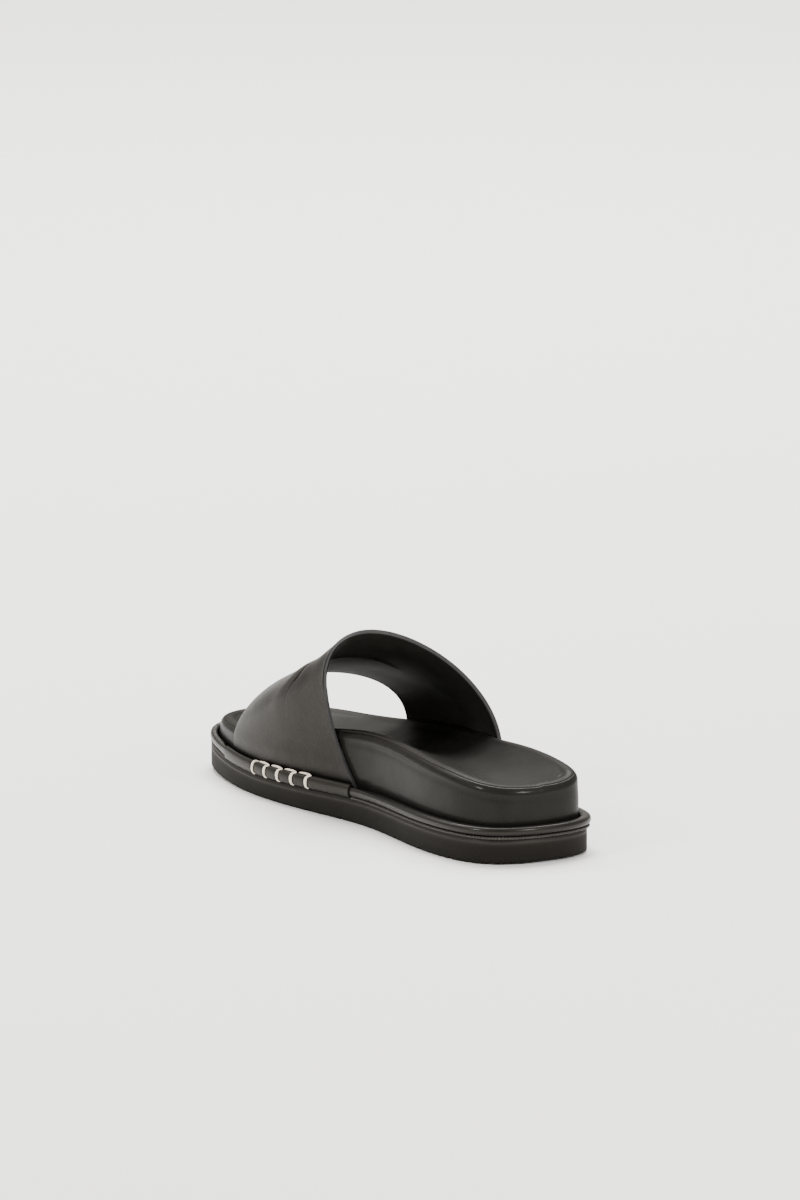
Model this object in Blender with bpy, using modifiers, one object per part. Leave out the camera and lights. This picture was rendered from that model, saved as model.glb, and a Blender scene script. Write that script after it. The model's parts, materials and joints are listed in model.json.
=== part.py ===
"""Slide sandal for the right foot: one wide leather band over a wrapped footbed on a rubber sole.

Metres, +Z up. The toe points along +X and the inner side of the foot is +Y. The shoe stands on its
flat sole, with the origin on the floor under the middle of its bounding box.
"""
import math

import bpy
import numpy as np

# Overall sizes
LENGTH = 0.290            # rubber sole, heel to toe, for a foot of about 270 mm
BALL_WIDTH = 0.112        # rubber sole across the ball
ARCH_RIM = 0.0470         # highest point of the footbed's edge, at the inner arch, above the floor
HEEL_SEAT = 0.0265        # where the heel rests, above the floor
INSTEP_HEIGHT = 0.0970    # top of the band at its back edge, above the floor

# Rubber sole
SOLE_THICKNESS = 0.0135   # at the heel
TOE_SPRING = 0.0040       # lift of the tip of the toe off the floor
HEEL_BEVEL = 0.0014       # lift of the very back of the heel
SPRING_START = 0.68       # share of the length where the toe starts to lift
BEVEL_END = 0.12          # share of the length where the heel's bevel ends
SHOULDER_HEIGHT = 0.0022  # sloped strip along the top of the rubber's side
SHOULDER_DEPTH = 0.0008
SOLE_EDGE = 0.0008        # chamfer along the bottom edge
SIPE_PITCH = 0.0260       # cross cuts of the tread, which nick the bottom edge
SIPE_WIDTH = 0.0016
SIPE_DEPTH = 0.0012
FIRST_SIPE = 0.030        # from the back of the heel
SIPE_COUNT = 10

# Footbed and its leather sock
FOOTBED_INSET = 0.0048    # from the rubber's outline in to the footbed's wall
RIM_RADIUS = 0.0032       # rounding of the footbed's edge
INSOLE_WALL = 0.0014      # leather sock
RIM_ROLL = 130.0          # degrees that the rounding turns, from the wall over into the bowl
SOCK_EDGE = 50.0          # degrees up the rounding at which the sock ends

# Welt strip, rand and sleeve along the foot of the footbed
WELT_THICKNESS = 0.0009
WELT_PROUD = 0.0004       # how far its edge stands out over the rubber
RAND_HEIGHT = 0.0044
RAND_PROUD = 0.0020       # how far the bead stands out over the rubber, round the heel and the waist
RAND_PROUD_TOE = 0.0004   # and at the toe
GROOVE = 0.0012           # dark slot between the rand and the footbed
SLEEVE_HEIGHT = 0.0069
SLEEVE_PROUD = 0.0008     # how far the sleeve stands out over the rand
SLEEVE_SPAN = (0.431, 0.824)   # shares of the length where the sleeve starts and ends

# Leather band
BAND_WALL = 0.0022
BAND_FLARE = 0.0058       # how far the inner side leans out above the footbed at the back edge
FLARE_HEIGHT = 0.71       # height of that, as a share of the instep height

CLEAR = 0.0003            # gap between pieces that touch
BAND_CLEAR = 0.0005       # gap on each face of the band, where facets of curved walls meet

# Number of sections
HALF_STEPS = 36           # steps along each side of the sole, heel to toe
DECK_STEPS = 8            # steps across the sole
BAND_STEPS = 12           # steps from the band's back edge to its front edge
ARCH_STEPS = 26           # steps over the band, side to side
BEAD_SIDES = 12           # sides of the rand's and the sleeve's section


def table(columns, *rows):
    """A table of sections: its columns by name, each as an array."""
    return dict(zip(columns.split(), np.array(rows, float).T))


# The rubber's outline, seen from above: shares of the length and of the ball width, from the back
# of the heel along the outer side to the toe, and back along the inner side
OUTLINE = table(
    "along across",
    (0.000, 0.000), (0.032, -0.272), (0.130, -0.322), (0.300, -0.372), (0.460, -0.432),
    (0.640, -0.499), (0.800, -0.448), (0.920, -0.303), (0.986, -0.085), (1.000, 0.110),
    (0.972, 0.322), (0.872, 0.440), (0.720, 0.476), (0.560, 0.426), (0.400, 0.346),
    (0.260, 0.350), (0.130, 0.340), (0.030, 0.232))

# The rubber: its thickness along the sole, as shares of the thickness at the heel
SOLE = table(
    "along thickness",
    (0.00, 1.00), (0.40, 0.95), (0.70, 0.84), (1.00, 0.93))

# The footbed: heights of its edge on each side as shares of the arch rim, and of the foot's bed
# between them as shares of the heel seat
FOOTBED = table(
    "along outer_rim inner_rim bed",
    (0.00, 0.806, 0.806, 1.00),
    (0.05, 0.885, 0.850, 1.00),
    (0.16, 0.935, 0.932, 1.00),
    (0.39, 0.820, 0.998, 1.02),
    (0.62, 0.685, 0.840, 0.84),
    (0.85, 0.561, 0.606, 0.77),
    (1.00, 0.604, 0.604, 0.85))

# The band, a row for each section from its back edge to its front edge: where its two sides stand,
# at the foot and at the footbed's edge, as shares of the length; its crown, as shares of the ball
# width and the instep height; and how square its two shoulders are, where 2 is an ellipse
BAND = table(
    "place outer_foot outer_edge inner_foot inner_edge crown_across crown_up outer_round inner_round",
    (0.00, 0.366, 0.407, 0.424, 0.495, 0.205, 1.000, 1.63, 2.50),
    (0.25, 0.472, 0.500, 0.522, 0.575, 0.175, 0.855, 1.75, 2.30),
    (0.50, 0.578, 0.592, 0.620, 0.655, 0.145, 0.750, 1.90, 2.05),
    (1.00, 0.790, 0.775, 0.807, 0.805, 0.080, 0.595, 2.20, 1.62))


def smooth(xs, ys, x):
    """A curve through the rows of a table, made of cubics that never overshoot a row."""
    xs, ys, x = np.asarray(xs, float), np.asarray(ys, float), np.asarray(x, float)
    steps = np.diff(xs)
    rises = np.diff(ys) / steps
    slopes = np.zeros(len(xs))
    same_way = rises[:-1] * rises[1:] > 0
    means = 2 * rises[:-1] * rises[1:] / np.where(same_way, rises[:-1] + rises[1:], 1)
    slopes[1:-1] = np.where(same_way, means, 0)
    k = np.clip(np.searchsorted(xs, x, side="right") - 1, 0, len(steps) - 1)
    t = np.clip((x - xs[k]) / steps[k], 0, 1)
    start = (1 + 2 * t) * (1 - t) ** 2 * ys[k] + t * (1 - t) ** 2 * steps[k] * slopes[k]
    end = t ** 2 * (3 - 2 * t) * ys[k + 1] - t ** 2 * (1 - t) * steps[k] * slopes[k + 1]
    return start + end


def closed_spline(points, fine=3600):
    """The smooth closed curve through points, densely sampled: a periodic cubic spline."""
    count = len(points)
    lengths = np.linalg.norm(np.roll(points, -1, axis=0) - points, axis=1)
    before = np.roll(lengths, 1)
    system = np.diag(2 * (before + lengths))
    rows = np.arange(count)
    system[rows, (rows + 1) % count] = before
    system[rows, (rows - 1) % count] = lengths
    ahead = (np.roll(points, -1, axis=0) - points) / lengths[:, None]
    behind = np.roll(ahead, 1, axis=0)
    tangents = np.linalg.solve(system, 3 * (before[:, None] * ahead + lengths[:, None] * behind))
    u = np.arange(fine) / fine * count
    k = u.astype(int)
    t = (u - k)[:, None]
    nxt = (k + 1) % count
    span = lengths[k][:, None]
    return ((1 + 2 * t) * (1 - t) ** 2 * points[k] + t * (1 - t) ** 2 * span * tangents[k]
            + t ** 2 * (3 - 2 * t) * points[nxt] - t ** 2 * (1 - t) * span * tangents[nxt])


def sole_outline():
    """The rubber's outline as a dense loop, from the heel's back point along the outer side."""
    points = np.column_stack([OUTLINE["along"] * LENGTH, OUTLINE["across"] * BALL_WIDTH])
    loop = closed_spline(points)
    return np.roll(loop, -int(np.argmin(loop[:, 0])), axis=0)


LOOP = sole_outline()


def outward(loop):
    """Unit normals of a closed loop, pointing out of it."""
    along = np.roll(loop, -1, axis=0) - np.roll(loop, 1, axis=0)
    along /= np.linalg.norm(along, axis=1)[:, None]
    return np.column_stack([along[:, 1], -along[:, 0]])


def side_stations():
    """Places along the dense loop: HALF_STEPS equal steps up the outer side, and back down the inner."""
    toe = int(np.argmax(LOOP[:, 0]))
    walked = np.concatenate([[0], np.cumsum(np.linalg.norm(np.diff(LOOP, axis=0), axis=1))])
    outer = np.interp(np.linspace(0, walked[toe], HALF_STEPS + 1)[:-1], walked, np.arange(len(LOOP)))
    end = walked[-1] + np.linalg.norm(LOOP[0] - LOOP[-1])
    inner = np.interp(np.linspace(walked[toe], end, HALF_STEPS + 1)[:-1],
                      np.append(walked, end), np.arange(len(LOOP) + 1))
    return np.concatenate([outer, inner])


STATIONS = side_stations()
NORMALS = outward(LOOP)


def offset_loop(distance, stations=None):
    """The outline moved out by distance, one value or one for each station, at the stations."""
    stations = STATIONS if stations is None else stations
    k = np.round(stations).astype(int) % len(LOOP)
    return LOOP[k] + NORMALS[k] * np.broadcast_to(distance, len(k))[:, None]


def underside(x):
    """Height of the rubber's underside: flat, with the heel's bevel and the toe's spring."""
    share = x / LENGTH
    heel = HEEL_BEVEL * np.clip((BEVEL_END - share) / BEVEL_END, 0, None) ** 2
    return heel + toe_lift(share)


def toe_lift(share):
    """The toe's spring, as a height: a parabola from SPRING_START to the tip."""
    return TOE_SPRING * np.clip((share - SPRING_START) / (1 - SPRING_START), 0, None) ** 2


def sole_top(x):
    """Height of the rubber's top face."""
    share = x / LENGTH
    return SOLE_THICKNESS * smooth(SOLE["along"], SOLE["thickness"], share) + toe_lift(share)


def bed_height(x):
    """Height of the foot's bed along the middle of the footbed."""
    return HEEL_SEAT * smooth(FOOTBED["along"], FOOTBED["bed"], x / LENGTH)


def rim_height(ring):
    """Height of the footbed's edge at the points of a ring, by the side that each is on."""
    share = np.clip(ring[:, 0] / LENGTH, 0, 1)
    outer = smooth(FOOTBED["along"], FOOTBED["outer_rim"], share)
    inner = smooth(FOOTBED["along"], FOOTBED["inner_rim"], share)
    return ARCH_RIM * np.where(np.arange(len(ring)) <= len(ring) // 2, outer, inner)


def lift(ring, heights):
    """A flat ring with its heights."""
    return np.column_stack([ring, np.broadcast_to(heights, len(ring))])


def band_of(ring_a, ring_b, count):
    """Quads between two rings of a mesh, given as the numbers of their first vertices."""
    k = np.arange(count)
    n = (k + 1) % count
    return np.column_stack([ring_a + k, ring_a + n, ring_b + n, ring_b + k])


def deck(ring, height_of):
    """Points inside a ring: rows from its outer side to its inner side, with their heights."""
    rows = np.arange(1, HALF_STEPS)
    across = np.linspace(0, 1, DECK_STEPS + 1)[1:-1]
    outer = ring[rows][:, None, :2]
    inner = ring[2 * HALF_STEPS - rows][:, None, :2]
    flat = (outer + (inner - outer) * across[None, :, None]).reshape(-1, 2)
    return np.column_stack([flat, height_of(flat)])


def deck_faces(ring_start, deck_start, facing_up):
    """Triangles that close a ring over its deck points, split alike on every layer."""
    rows = np.arange(1, HALF_STEPS)
    middle = deck_start + np.arange((HALF_STEPS - 1) * (DECK_STEPS - 1)).reshape(HALF_STEPS - 1, -1)
    grid = np.column_stack([ring_start + rows, middle, ring_start + 2 * HALF_STEPS - rows])
    near, far, beyond, beside = grid[:-1, :-1], grid[1:, :-1], grid[1:, 1:], grid[:-1, 1:]
    halves = [np.stack([near, far, beyond], axis=-1).reshape(-1, 3),
              np.stack([near, beyond, beside], axis=-1).reshape(-1, 3)]
    heel = np.full(DECK_STEPS, ring_start)
    toe = np.full(DECK_STEPS, ring_start + HALF_STEPS)
    fans = [np.column_stack([heel, grid[0, :-1], grid[0, 1:]]),
            np.column_stack([toe, grid[-1, 1:], grid[-1, :-1]])]
    faces = np.vstack(halves + fans)
    return (faces if facing_up else faces[:, ::-1]).tolist()


def add_object(name, vertices, faces, collection, material, smooth_angle=35.0):
    """A mesh object from vertices and faces, shaded smooth up to an angle."""
    mesh = bpy.data.meshes.new(name)
    mesh.from_pydata([tuple(v) for v in vertices], [], [tuple(f) for f in faces])
    mesh.update()
    obj = bpy.data.objects.new(name, mesh)
    collection.objects.link(obj)
    if material is not None:
        mesh.materials.append(material)
    mesh.shade_smooth()
    mesh.set_sharp_from_angle(angle=math.radians(smooth_angle))
    return obj


def closed_body(name, rings, under, over, collection, material):
    """A solid of stacked rings, closed by the deck points under the first and over the last."""
    count = 2 * HALF_STEPS
    vertices = np.vstack(list(rings) + [under, over])
    faces = []
    for k in range(len(rings) - 1):
        faces += band_of(k * count, (k + 1) * count, count).tolist()
    lower = len(rings) * count
    upper = lower + (HALF_STEPS - 1) * (DECK_STEPS - 1)
    faces += deck_faces(0, lower, facing_up=False)
    faces += deck_faces((len(rings) - 1) * count, upper, facing_up=True)
    return add_object(name, vertices, faces, collection, material)


def make_outsole(collection, cutters, material):
    """The rubber sole: its side, the sloped strip above it, and cross cuts in the tread."""
    def ring(distance, height_of):
        flat = offset_loop(distance)
        return lift(flat, height_of(flat[:, 0]))
    rings = [ring(-SOLE_EDGE, underside),
             ring(0, lambda x: underside(x) + SOLE_EDGE),
             ring(0, lambda x: sole_top(x) - SHOULDER_HEIGHT),
             ring(-SHOULDER_DEPTH, sole_top)]
    bottom = deck(rings[0], lambda p: underside(p[:, 0]))
    top = deck(rings[-1], lambda p: sole_top(p[:, 0]))
    sole = closed_body("outsole", rings, bottom, top, collection, material)
    for k in range(SIPE_COUNT):
        x = FIRST_SIPE + k * SIPE_PITCH
        floor = float(underside(np.array([x]))[0])
        bpy.ops.mesh.primitive_cube_add(size=1, location=(x, 0, floor))
        cutter = bpy.context.object
        cutter.name = "sipe_cutter_%d" % (k + 1)
        cutter.dimensions = (SIPE_WIDTH, 2 * BALL_WIDTH, 2 * SIPE_DEPTH)
        for owner in cutter.users_collection:
            owner.objects.unlink(cutter)
        cutters.objects.link(cutter)
        cutter.hide_render = True
        cutter.display_type = "WIRE"
        cut = sole.modifiers.new("sipe %d" % (k + 1), "BOOLEAN")
        cut.operation = "DIFFERENCE"
        cut.object = cutter
    return sole


def rim_ring(radius, degrees):
    """A ring on the footbed's rounded edge: at a radius from the rounding's axis, turned inwards."""
    turn = math.radians(degrees)
    ring = offset_loop(-FOOTBED_INSET - RIM_RADIUS + radius * math.cos(turn))
    heights = rim_height(offset_loop(-FOOTBED_INSET)) - RIM_RADIUS + radius * math.sin(turn)
    return lift(ring, heights)


SOCK_TURNS = np.linspace(SOCK_EDGE, RIM_ROLL, 4)


def bowl(points):
    """Height and steepness of the foot's bed at points: banks that fall from every part of the rim.

    Each bank is a parabola that starts as steep as the rim's rounding ends, and the highest bank
    counts. Where none reaches, the bed lies flat across. Beyond the rim the nearest bank goes on.
    """
    steep = math.tan(math.radians(RIM_ROLL - 90))
    edge = rim_ring(RIM_RADIUS, RIM_ROLL)
    fine = np.linspace(0, len(edge), 8 * len(edge), endpoint=False)
    closed = np.vstack([edge, edge[:1]])
    edge = np.column_stack([np.interp(fine, np.arange(len(closed)), closed[:, k]) for k in range(3)])
    depth = edge[:, 2] - bed_height(edge[:, 0])
    away = np.linalg.norm(points[:, None, :2] - edge[None, :, :2], axis=2)
    left = np.clip(1 - away * steep / (2 * depth[None]), 0, 1)
    rows = np.arange(len(points))
    nearest = away.argmin(axis=1)
    beyond = ((points[:, :2] - edge[nearest, :2]) * outward(edge[:, :2])[nearest]).sum(axis=1) > 0
    best = np.where(beyond, nearest, (depth[None] * left ** 2).argmax(axis=1))
    further = 1 + away[rows, nearest] * steep / (2 * depth[nearest])
    share = np.where(beyond, further, left[rows, best])
    return bed_height(points[:, 0]) + depth[best] * share ** 2, steep * share


def bed_deck(ring, depth):
    """Deck points on the foot's bed inside a ring, lowered by a true thickness."""
    def height_of(points):
        height, slope = bowl(points)
        return height - depth * np.sqrt(1 + slope ** 2)
    return deck(ring, height_of)


def make_footbed(collection, material):
    """The moulded footbed: its wall rolls over at the top and steps in under the sock's edge."""
    core = RIM_RADIUS - INSOLE_WALL - CLEAR
    step = SOCK_EDGE - math.degrees(CLEAR / RIM_RADIUS)
    base = offset_loop(-FOOTBED_INSET)
    bottom = offset_loop(-FOOTBED_INSET - SOLE_EDGE)
    rings = [lift(bottom, sole_top(bottom[:, 0]) + CLEAR),
             lift(base, sole_top(base[:, 0]) + CLEAR + SOLE_EDGE),
             lift(base, rim_height(base) - RIM_RADIUS)]
    rings += [rim_ring(RIM_RADIUS, turn) for turn in (step / 2, step)]
    rings += [rim_ring(core, turn) for turn in (step, *SOCK_TURNS[1:])]
    under_sock = bed_deck(rim_ring(RIM_RADIUS - INSOLE_WALL, RIM_ROLL), INSOLE_WALL)
    bed = under_sock - (0, 0, CLEAR / math.sin(math.radians(RIM_ROLL)))
    foot = deck(rings[0], lambda p: sole_top(p[:, 0]) + CLEAR)
    return closed_body("footbed", rings, foot, bed, collection, material)


def make_insole(collection, material):
    """The leather sock: one skin over the bed and the rounded rim, down to a seam on the roll."""
    inner = RIM_RADIUS - INSOLE_WALL
    rings = [rim_ring(inner, turn) for turn in reversed(SOCK_TURNS)]
    rings += [rim_ring(RIM_RADIUS, turn) for turn in SOCK_TURNS]
    return closed_body("insole", rings, bed_deck(rings[0], INSOLE_WALL), bed_deck(rings[-1], 0.0),
                       collection, material)


def run_between(start_share, end_share, the_long_way):
    """Stations along the outline between two places on the inner side, given as shares of the length."""
    toe = int(np.argmax(LOOP[:, 0]))
    inner_x = LOOP[toe:, 0]
    places = np.arange(toe, len(LOOP))
    front, back = (float(np.interp(-share * LENGTH, -inner_x, places)) for share in (end_share, start_share))
    if the_long_way:
        front, back = back, front + len(LOOP)
    step = len(LOOP) / (2 * HALF_STEPS)
    return np.linspace(front, back, max(2, round((back - front) / step)) + 1)


def swept(name, stations, sections, collection, material):
    """A bar along the outline: at each station a closed section of (distance out, height) points."""
    count = sections.shape[1]
    k = np.round(stations).astype(int) % len(LOOP)
    flat = LOOP[k][:, None, :] + NORMALS[k][:, None, :] * sections[:, :, :1]
    vertices = np.concatenate([flat, sections[:, :, 1:]], axis=2).reshape(-1, 3)
    faces = []
    for row in range(len(stations) - 1):
        faces += band_of(row * count, (row + 1) * count, count)[:, ::-1].tolist()
    faces.append(list(range(count)))
    faces.append(list(range(len(vertices) - count, len(vertices)))[::-1])
    return add_object(name, vertices, faces, collection, material, smooth_angle=50.0)


def station_x(stations):
    """How far along the sole each station lies."""
    return LOOP[np.round(stations).astype(int) % len(LOOP)][:, 0]


def rounded_section(left, right, low, high, squareness):
    """Sections like rounded bars: superellipses between two distances out and two heights."""
    turn = (np.arange(BEAD_SIDES) + 0.5) / BEAD_SIDES * 2 * math.pi
    wide = np.sign(np.cos(turn)) * np.abs(np.cos(turn)) ** (2 / squareness)
    tall = np.sign(np.sin(turn)) * np.abs(np.sin(turn)) ** (2 / squareness)
    reach = np.abs(wide).max()
    middle, half = (left + right) / 2, (right - left) / 2
    centre, rise = (low + high) / 2, (high - low) / 2
    return np.stack([middle[:, None] + half[:, None] * wide / reach,
                     centre[:, None] + rise[:, None] * tall / np.abs(tall).max()], axis=2)


def band_slot(stations):
    """How much of the ledge the band takes at each station: 1 along its two feet, else 0."""
    share = station_x(stations) / LENGTH
    ease = 0.03
    inner_side = np.round(stations).astype(int) % len(LOOP) >= int(np.argmax(LOOP[:, 0]))
    taken = np.zeros(len(stations))
    for side, name in ((inner_side, "inner_foot"), (~inner_side, "outer_foot")):
        back, front = BAND[name][0] - ease, BAND[name][-1] + ease
        inside = np.clip(np.minimum(share - back, front - share) / ease + 1, 0, 1)
        taken = np.where(side, inside, taken)
    return taken


def beside_band():
    """How far in from the outline the ledge is free outside the band."""
    return -FOOTBED_INSET + BAND_WALL + 2 * BAND_CLEAR


def proud_of_rubber(stations):
    """How far the rand stands out over the rubber: less and less from the waist to the toe."""
    share = np.clip(station_x(stations) / LENGTH, 0, 1)
    return smooth((0, SLEEVE_SPAN[0], 1), (RAND_PROUD, RAND_PROUD, RAND_PROUD_TOE), share)


def make_welt(collection, material):
    """The thin knurled strip between the rubber and the rand, open where the sleeve lies."""
    stations = run_between(*SLEEVE_SPAN, the_long_way=True)
    low = sole_top(station_x(stations)) + CLEAR
    inner = beside_band()
    proud = np.minimum(WELT_PROUD, proud_of_rubber(stations))
    sections = np.array([[(out, base), (out, base + WELT_THICKNESS), (inner, base + WELT_THICKNESS),
                          (inner, base)] for out, base in zip(proud, low)])
    return swept("welt", stations, sections, collection, material)


def make_rand(collection, material):
    """The rounded bead round the foot of the footbed, narrower where the band passes behind it."""
    stations = run_between(*SLEEVE_SPAN, the_long_way=True)
    inner = -FOOTBED_INSET + GROOVE
    left = inner + (beside_band() - inner) * band_slot(stations)
    right = proud_of_rubber(stations)
    low = sole_top(station_x(stations)) + CLEAR + WELT_THICKNESS + CLEAR
    sections = rounded_section(left, right, low, low + RAND_HEIGHT, squareness=2.4)
    return swept("rand", stations, sections, collection, material)


def make_sleeve(collection, material):
    """The rolled leather tube along the inner forefoot, in line with the rand at both ends."""
    back, front = SLEEVE_SPAN
    stations = run_between(back + CLEAR / LENGTH, front - CLEAR / LENGTH, the_long_way=False)
    left = np.full(len(stations), beside_band())
    right = proud_of_rubber(stations) + SLEEVE_PROUD
    low = sole_top(station_x(stations)) + CLEAR
    sections = rounded_section(left, right, low, low + SLEEVE_HEIGHT, squareness=2.1)
    return swept("rand_sleeve", stations, sections, collection, material)


def wall_place(share, inner_side, distance):
    """The point beside the outline at a share of the length, on one side, moved out by distance."""
    moved = LOOP + NORMALS * distance
    toe = int(np.argmax(LOOP[:, 0]))
    side = moved[toe:][::-1] if inner_side else moved[:toe]
    return float(np.interp(share * LENGTH, side[:, 0], side[:, 1]))


def even_steps(curve, steps):
    """A curve cut into steps of equal length."""
    walked = np.concatenate([[0], np.cumsum(np.linalg.norm(np.diff(curve, axis=0), axis=1))])
    places = np.linspace(0, walked[-1], steps + 1)
    return np.column_stack([np.interp(places, walked, curve[:, k]) for k in range(curve.shape[1])])


def band_section(place):
    """One section of the band's middle surface, from its outer foot over the crown to its inner foot.

    Each side stands on the sole behind the rand, rises along the footbed's wall to its edge, and
    turns over to the crown in a quarter of a superellipse. The inner side also leans out above the
    footbed, most at the back edge.
    """
    row = {name: float(smooth(BAND["place"], values, place)) for name, values in BAND.items()}
    beside = -FOOTBED_INSET + BAND_CLEAR + BAND_WALL / 2
    crown = np.array([row["crown_across"] * BALL_WIDTH, row["crown_up"] * INSTEP_HEIGHT - BAND_WALL / 2])
    halves = []
    for side, inner_side in (("outer", False), ("inner", True)):
        foot, edge = row[side + "_foot"], row[side + "_edge"]
        foot_x, edge_x = foot * LENGTH, edge * LENGTH
        foot_y, edge_y = (wall_place(share, inner_side, beside) for share in (foot, edge))
        foot_z = float(sole_top(np.array([foot_x]))[0]) + CLEAR
        rim = FOOTBED["inner_rim" if inner_side else "outer_rim"]
        edge_z = ARCH_RIM * float(smooth(FOOTBED["along"], rim, edge)) - RIM_RADIUS
        spring_y, spring_z = edge_y, edge_z
        wall = [(foot_x, foot_y, foot_z), (edge_x, edge_y, edge_z)]
        if inner_side:
            lean = (1 - place) ** 1.5
            spring_y = edge_y + BAND_FLARE * lean
            spring_z = edge_z + (FLARE_HEIGHT * INSTEP_HEIGHT - edge_z) * lean
            wall.append((edge_x, spring_y, spring_z))
        turn = np.linspace(0, math.pi / 2, 25)
        power = 2 / row[side + "_round"]
        across = crown[0] + (spring_y - crown[0]) * np.cos(turn) ** power
        up = spring_z + (crown[1] - spring_z) * np.sin(turn) ** power
        arch = np.column_stack([np.full(len(turn), edge_x), across, up])
        halves.append(np.vstack([even_steps(np.array(wall), 12), arch[1:]]))
    outer, inner = halves
    whole = np.vstack([outer, inner[::-1][1:]])
    reach = (whole[:, 1] - outer[12, 1]) / (inner[12, 1] - outer[12, 1])
    edge_line = outer[-1, 0] + (inner[-1, 0] - outer[-1, 0]) * np.clip(reach, 0, 1)
    over = np.zeros(len(whole), bool)
    over[13:-13] = True
    whole[:, 0] = np.where(over, edge_line, whole[:, 0])
    return even_steps(whole, ARCH_STEPS)


def make_upper(collection, material):
    """The band: one leather wall, open at the toe and the heel, standing outside the footbed."""
    rows = np.array([band_section(place) for place in np.linspace(0, 1, BAND_STEPS + 1)])
    vertices = rows.reshape(-1, 3)
    numbers = np.arange(len(vertices)).reshape(BAND_STEPS + 1, ARCH_STEPS + 1)
    quads = np.stack([numbers[:-1, :-1], numbers[1:, :-1], numbers[1:, 1:], numbers[:-1, 1:]], axis=-1)
    upper = add_object("upper", vertices, quads.reshape(-1, 4).tolist(), collection, material)
    wall = upper.modifiers.new("leather", "SOLIDIFY")
    wall.thickness = BAND_WALL
    wall.offset = 0.0
    wall.use_even_offset = True
    return upper


def make_material(name, colour, roughness):
    """A plain material with the piece's colour and roughness."""
    material = bpy.data.materials.new(name)
    material.use_nodes = True
    shader = material.node_tree.nodes["Principled BSDF"]
    shader.inputs["Base Color"].default_value = (*colour, 1)
    shader.inputs["Roughness"].default_value = roughness
    shader.inputs["Metallic"].default_value = 0.0
    return material


def centre_on_floor(pieces, followers):
    """Move everything so that the pieces' bounding box stands on the origin."""
    bpy.context.view_layer.update()
    graph = bpy.context.evaluated_depsgraph_get()
    corners = []
    for piece in pieces:
        shape = piece.evaluated_get(graph)
        corners += [piece.matrix_world @ vertex.co for vertex in shape.data.vertices]
    corners = np.array(corners)
    low, high = corners.min(axis=0), corners.max(axis=0)
    shift = (-(low[0] + high[0]) / 2, -(low[1] + high[1]) / 2, -low[2])
    for obj in list(pieces) + list(followers):
        obj.location = [place + move for place, move in zip(obj.location, shift)]


def main():
    for obj in list(bpy.data.objects):
        bpy.data.objects.remove(obj, do_unlink=True)
    sandal = bpy.data.collections.new("slide_sandal")
    cutters = bpy.data.collections.new("cutters")
    for collection in (sandal, cutters):
        bpy.context.scene.collection.children.link(collection)
    rubber = make_material("black sole rubber", (0.028, 0.027, 0.025), 0.62)
    bead = make_material("black rand rubber", (0.030, 0.028, 0.026), 0.38)
    leather = make_material("black smooth leather", (0.034, 0.032, 0.029), 0.42)
    lining = make_material("black sock leather", (0.030, 0.028, 0.026), 0.48)
    pieces = [make_outsole(sandal, cutters, rubber),
              make_welt(sandal, bead),
              make_rand(sandal, bead),
              make_sleeve(sandal, leather),
              make_footbed(sandal, leather),
              make_insole(sandal, lining),
              make_upper(sandal, leather)]
    centre_on_floor(pieces, cutters.objects)


main()
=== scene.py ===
# %% [markdown]
# # A slide sandal in black leather
#
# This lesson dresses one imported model: a slide sandal for the right foot, with a wide leather band
# over a wrapped footbed on a rubber sole. The solids already have the right sizes, so every surface
# here is worked out again on a finer grid, in the same place, and gets its real finish. The solids
# stay hidden underneath for the physics.

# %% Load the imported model
import json
import math

import bmesh
import bpy
import numpy as np
from mathutils import Matrix, Vector

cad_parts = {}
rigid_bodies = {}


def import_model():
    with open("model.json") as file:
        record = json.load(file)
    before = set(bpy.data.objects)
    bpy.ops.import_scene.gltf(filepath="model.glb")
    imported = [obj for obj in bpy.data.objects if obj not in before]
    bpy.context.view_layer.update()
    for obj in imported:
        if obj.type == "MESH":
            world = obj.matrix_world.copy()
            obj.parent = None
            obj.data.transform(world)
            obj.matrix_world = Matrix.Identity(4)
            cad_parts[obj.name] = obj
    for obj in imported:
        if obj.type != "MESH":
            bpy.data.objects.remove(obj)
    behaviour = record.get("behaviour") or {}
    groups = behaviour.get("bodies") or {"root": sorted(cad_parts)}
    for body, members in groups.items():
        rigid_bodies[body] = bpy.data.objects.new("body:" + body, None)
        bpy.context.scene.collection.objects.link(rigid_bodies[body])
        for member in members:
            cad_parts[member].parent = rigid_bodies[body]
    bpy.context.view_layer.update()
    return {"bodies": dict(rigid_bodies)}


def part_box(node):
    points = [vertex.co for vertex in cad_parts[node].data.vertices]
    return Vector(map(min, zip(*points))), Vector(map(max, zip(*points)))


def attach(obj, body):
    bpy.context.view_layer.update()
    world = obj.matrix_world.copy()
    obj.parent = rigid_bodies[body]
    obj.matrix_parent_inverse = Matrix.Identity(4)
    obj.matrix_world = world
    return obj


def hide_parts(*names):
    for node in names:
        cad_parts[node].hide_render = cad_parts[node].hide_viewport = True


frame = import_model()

# %% [markdown]
# ## The camera
#
# The sandal is seen from behind on its inner side, a little from above, through a very long lens.
# A camera could be placed by eye. Here its direction, distance and lens were fitted to the sole's
# outline in the picture, so it is aimed by those four numbers. It looks at a point above the shoe,
# which is why the shoe stands below the middle of the frame.

# %% Camera
CAMERA_AZIMUTH = 240.903    # degrees round the shoe, from behind the heel on the inner side
CAMERA_ELEVATION = 11.156
CAMERA_DISTANCE = 3.888
CAMERA_AIM = (0.014186, -0.00553, 0.10525)
FOCAL_LENGTH_MM = 227.6     # on a sensor 36 mm along the picture's long side


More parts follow.
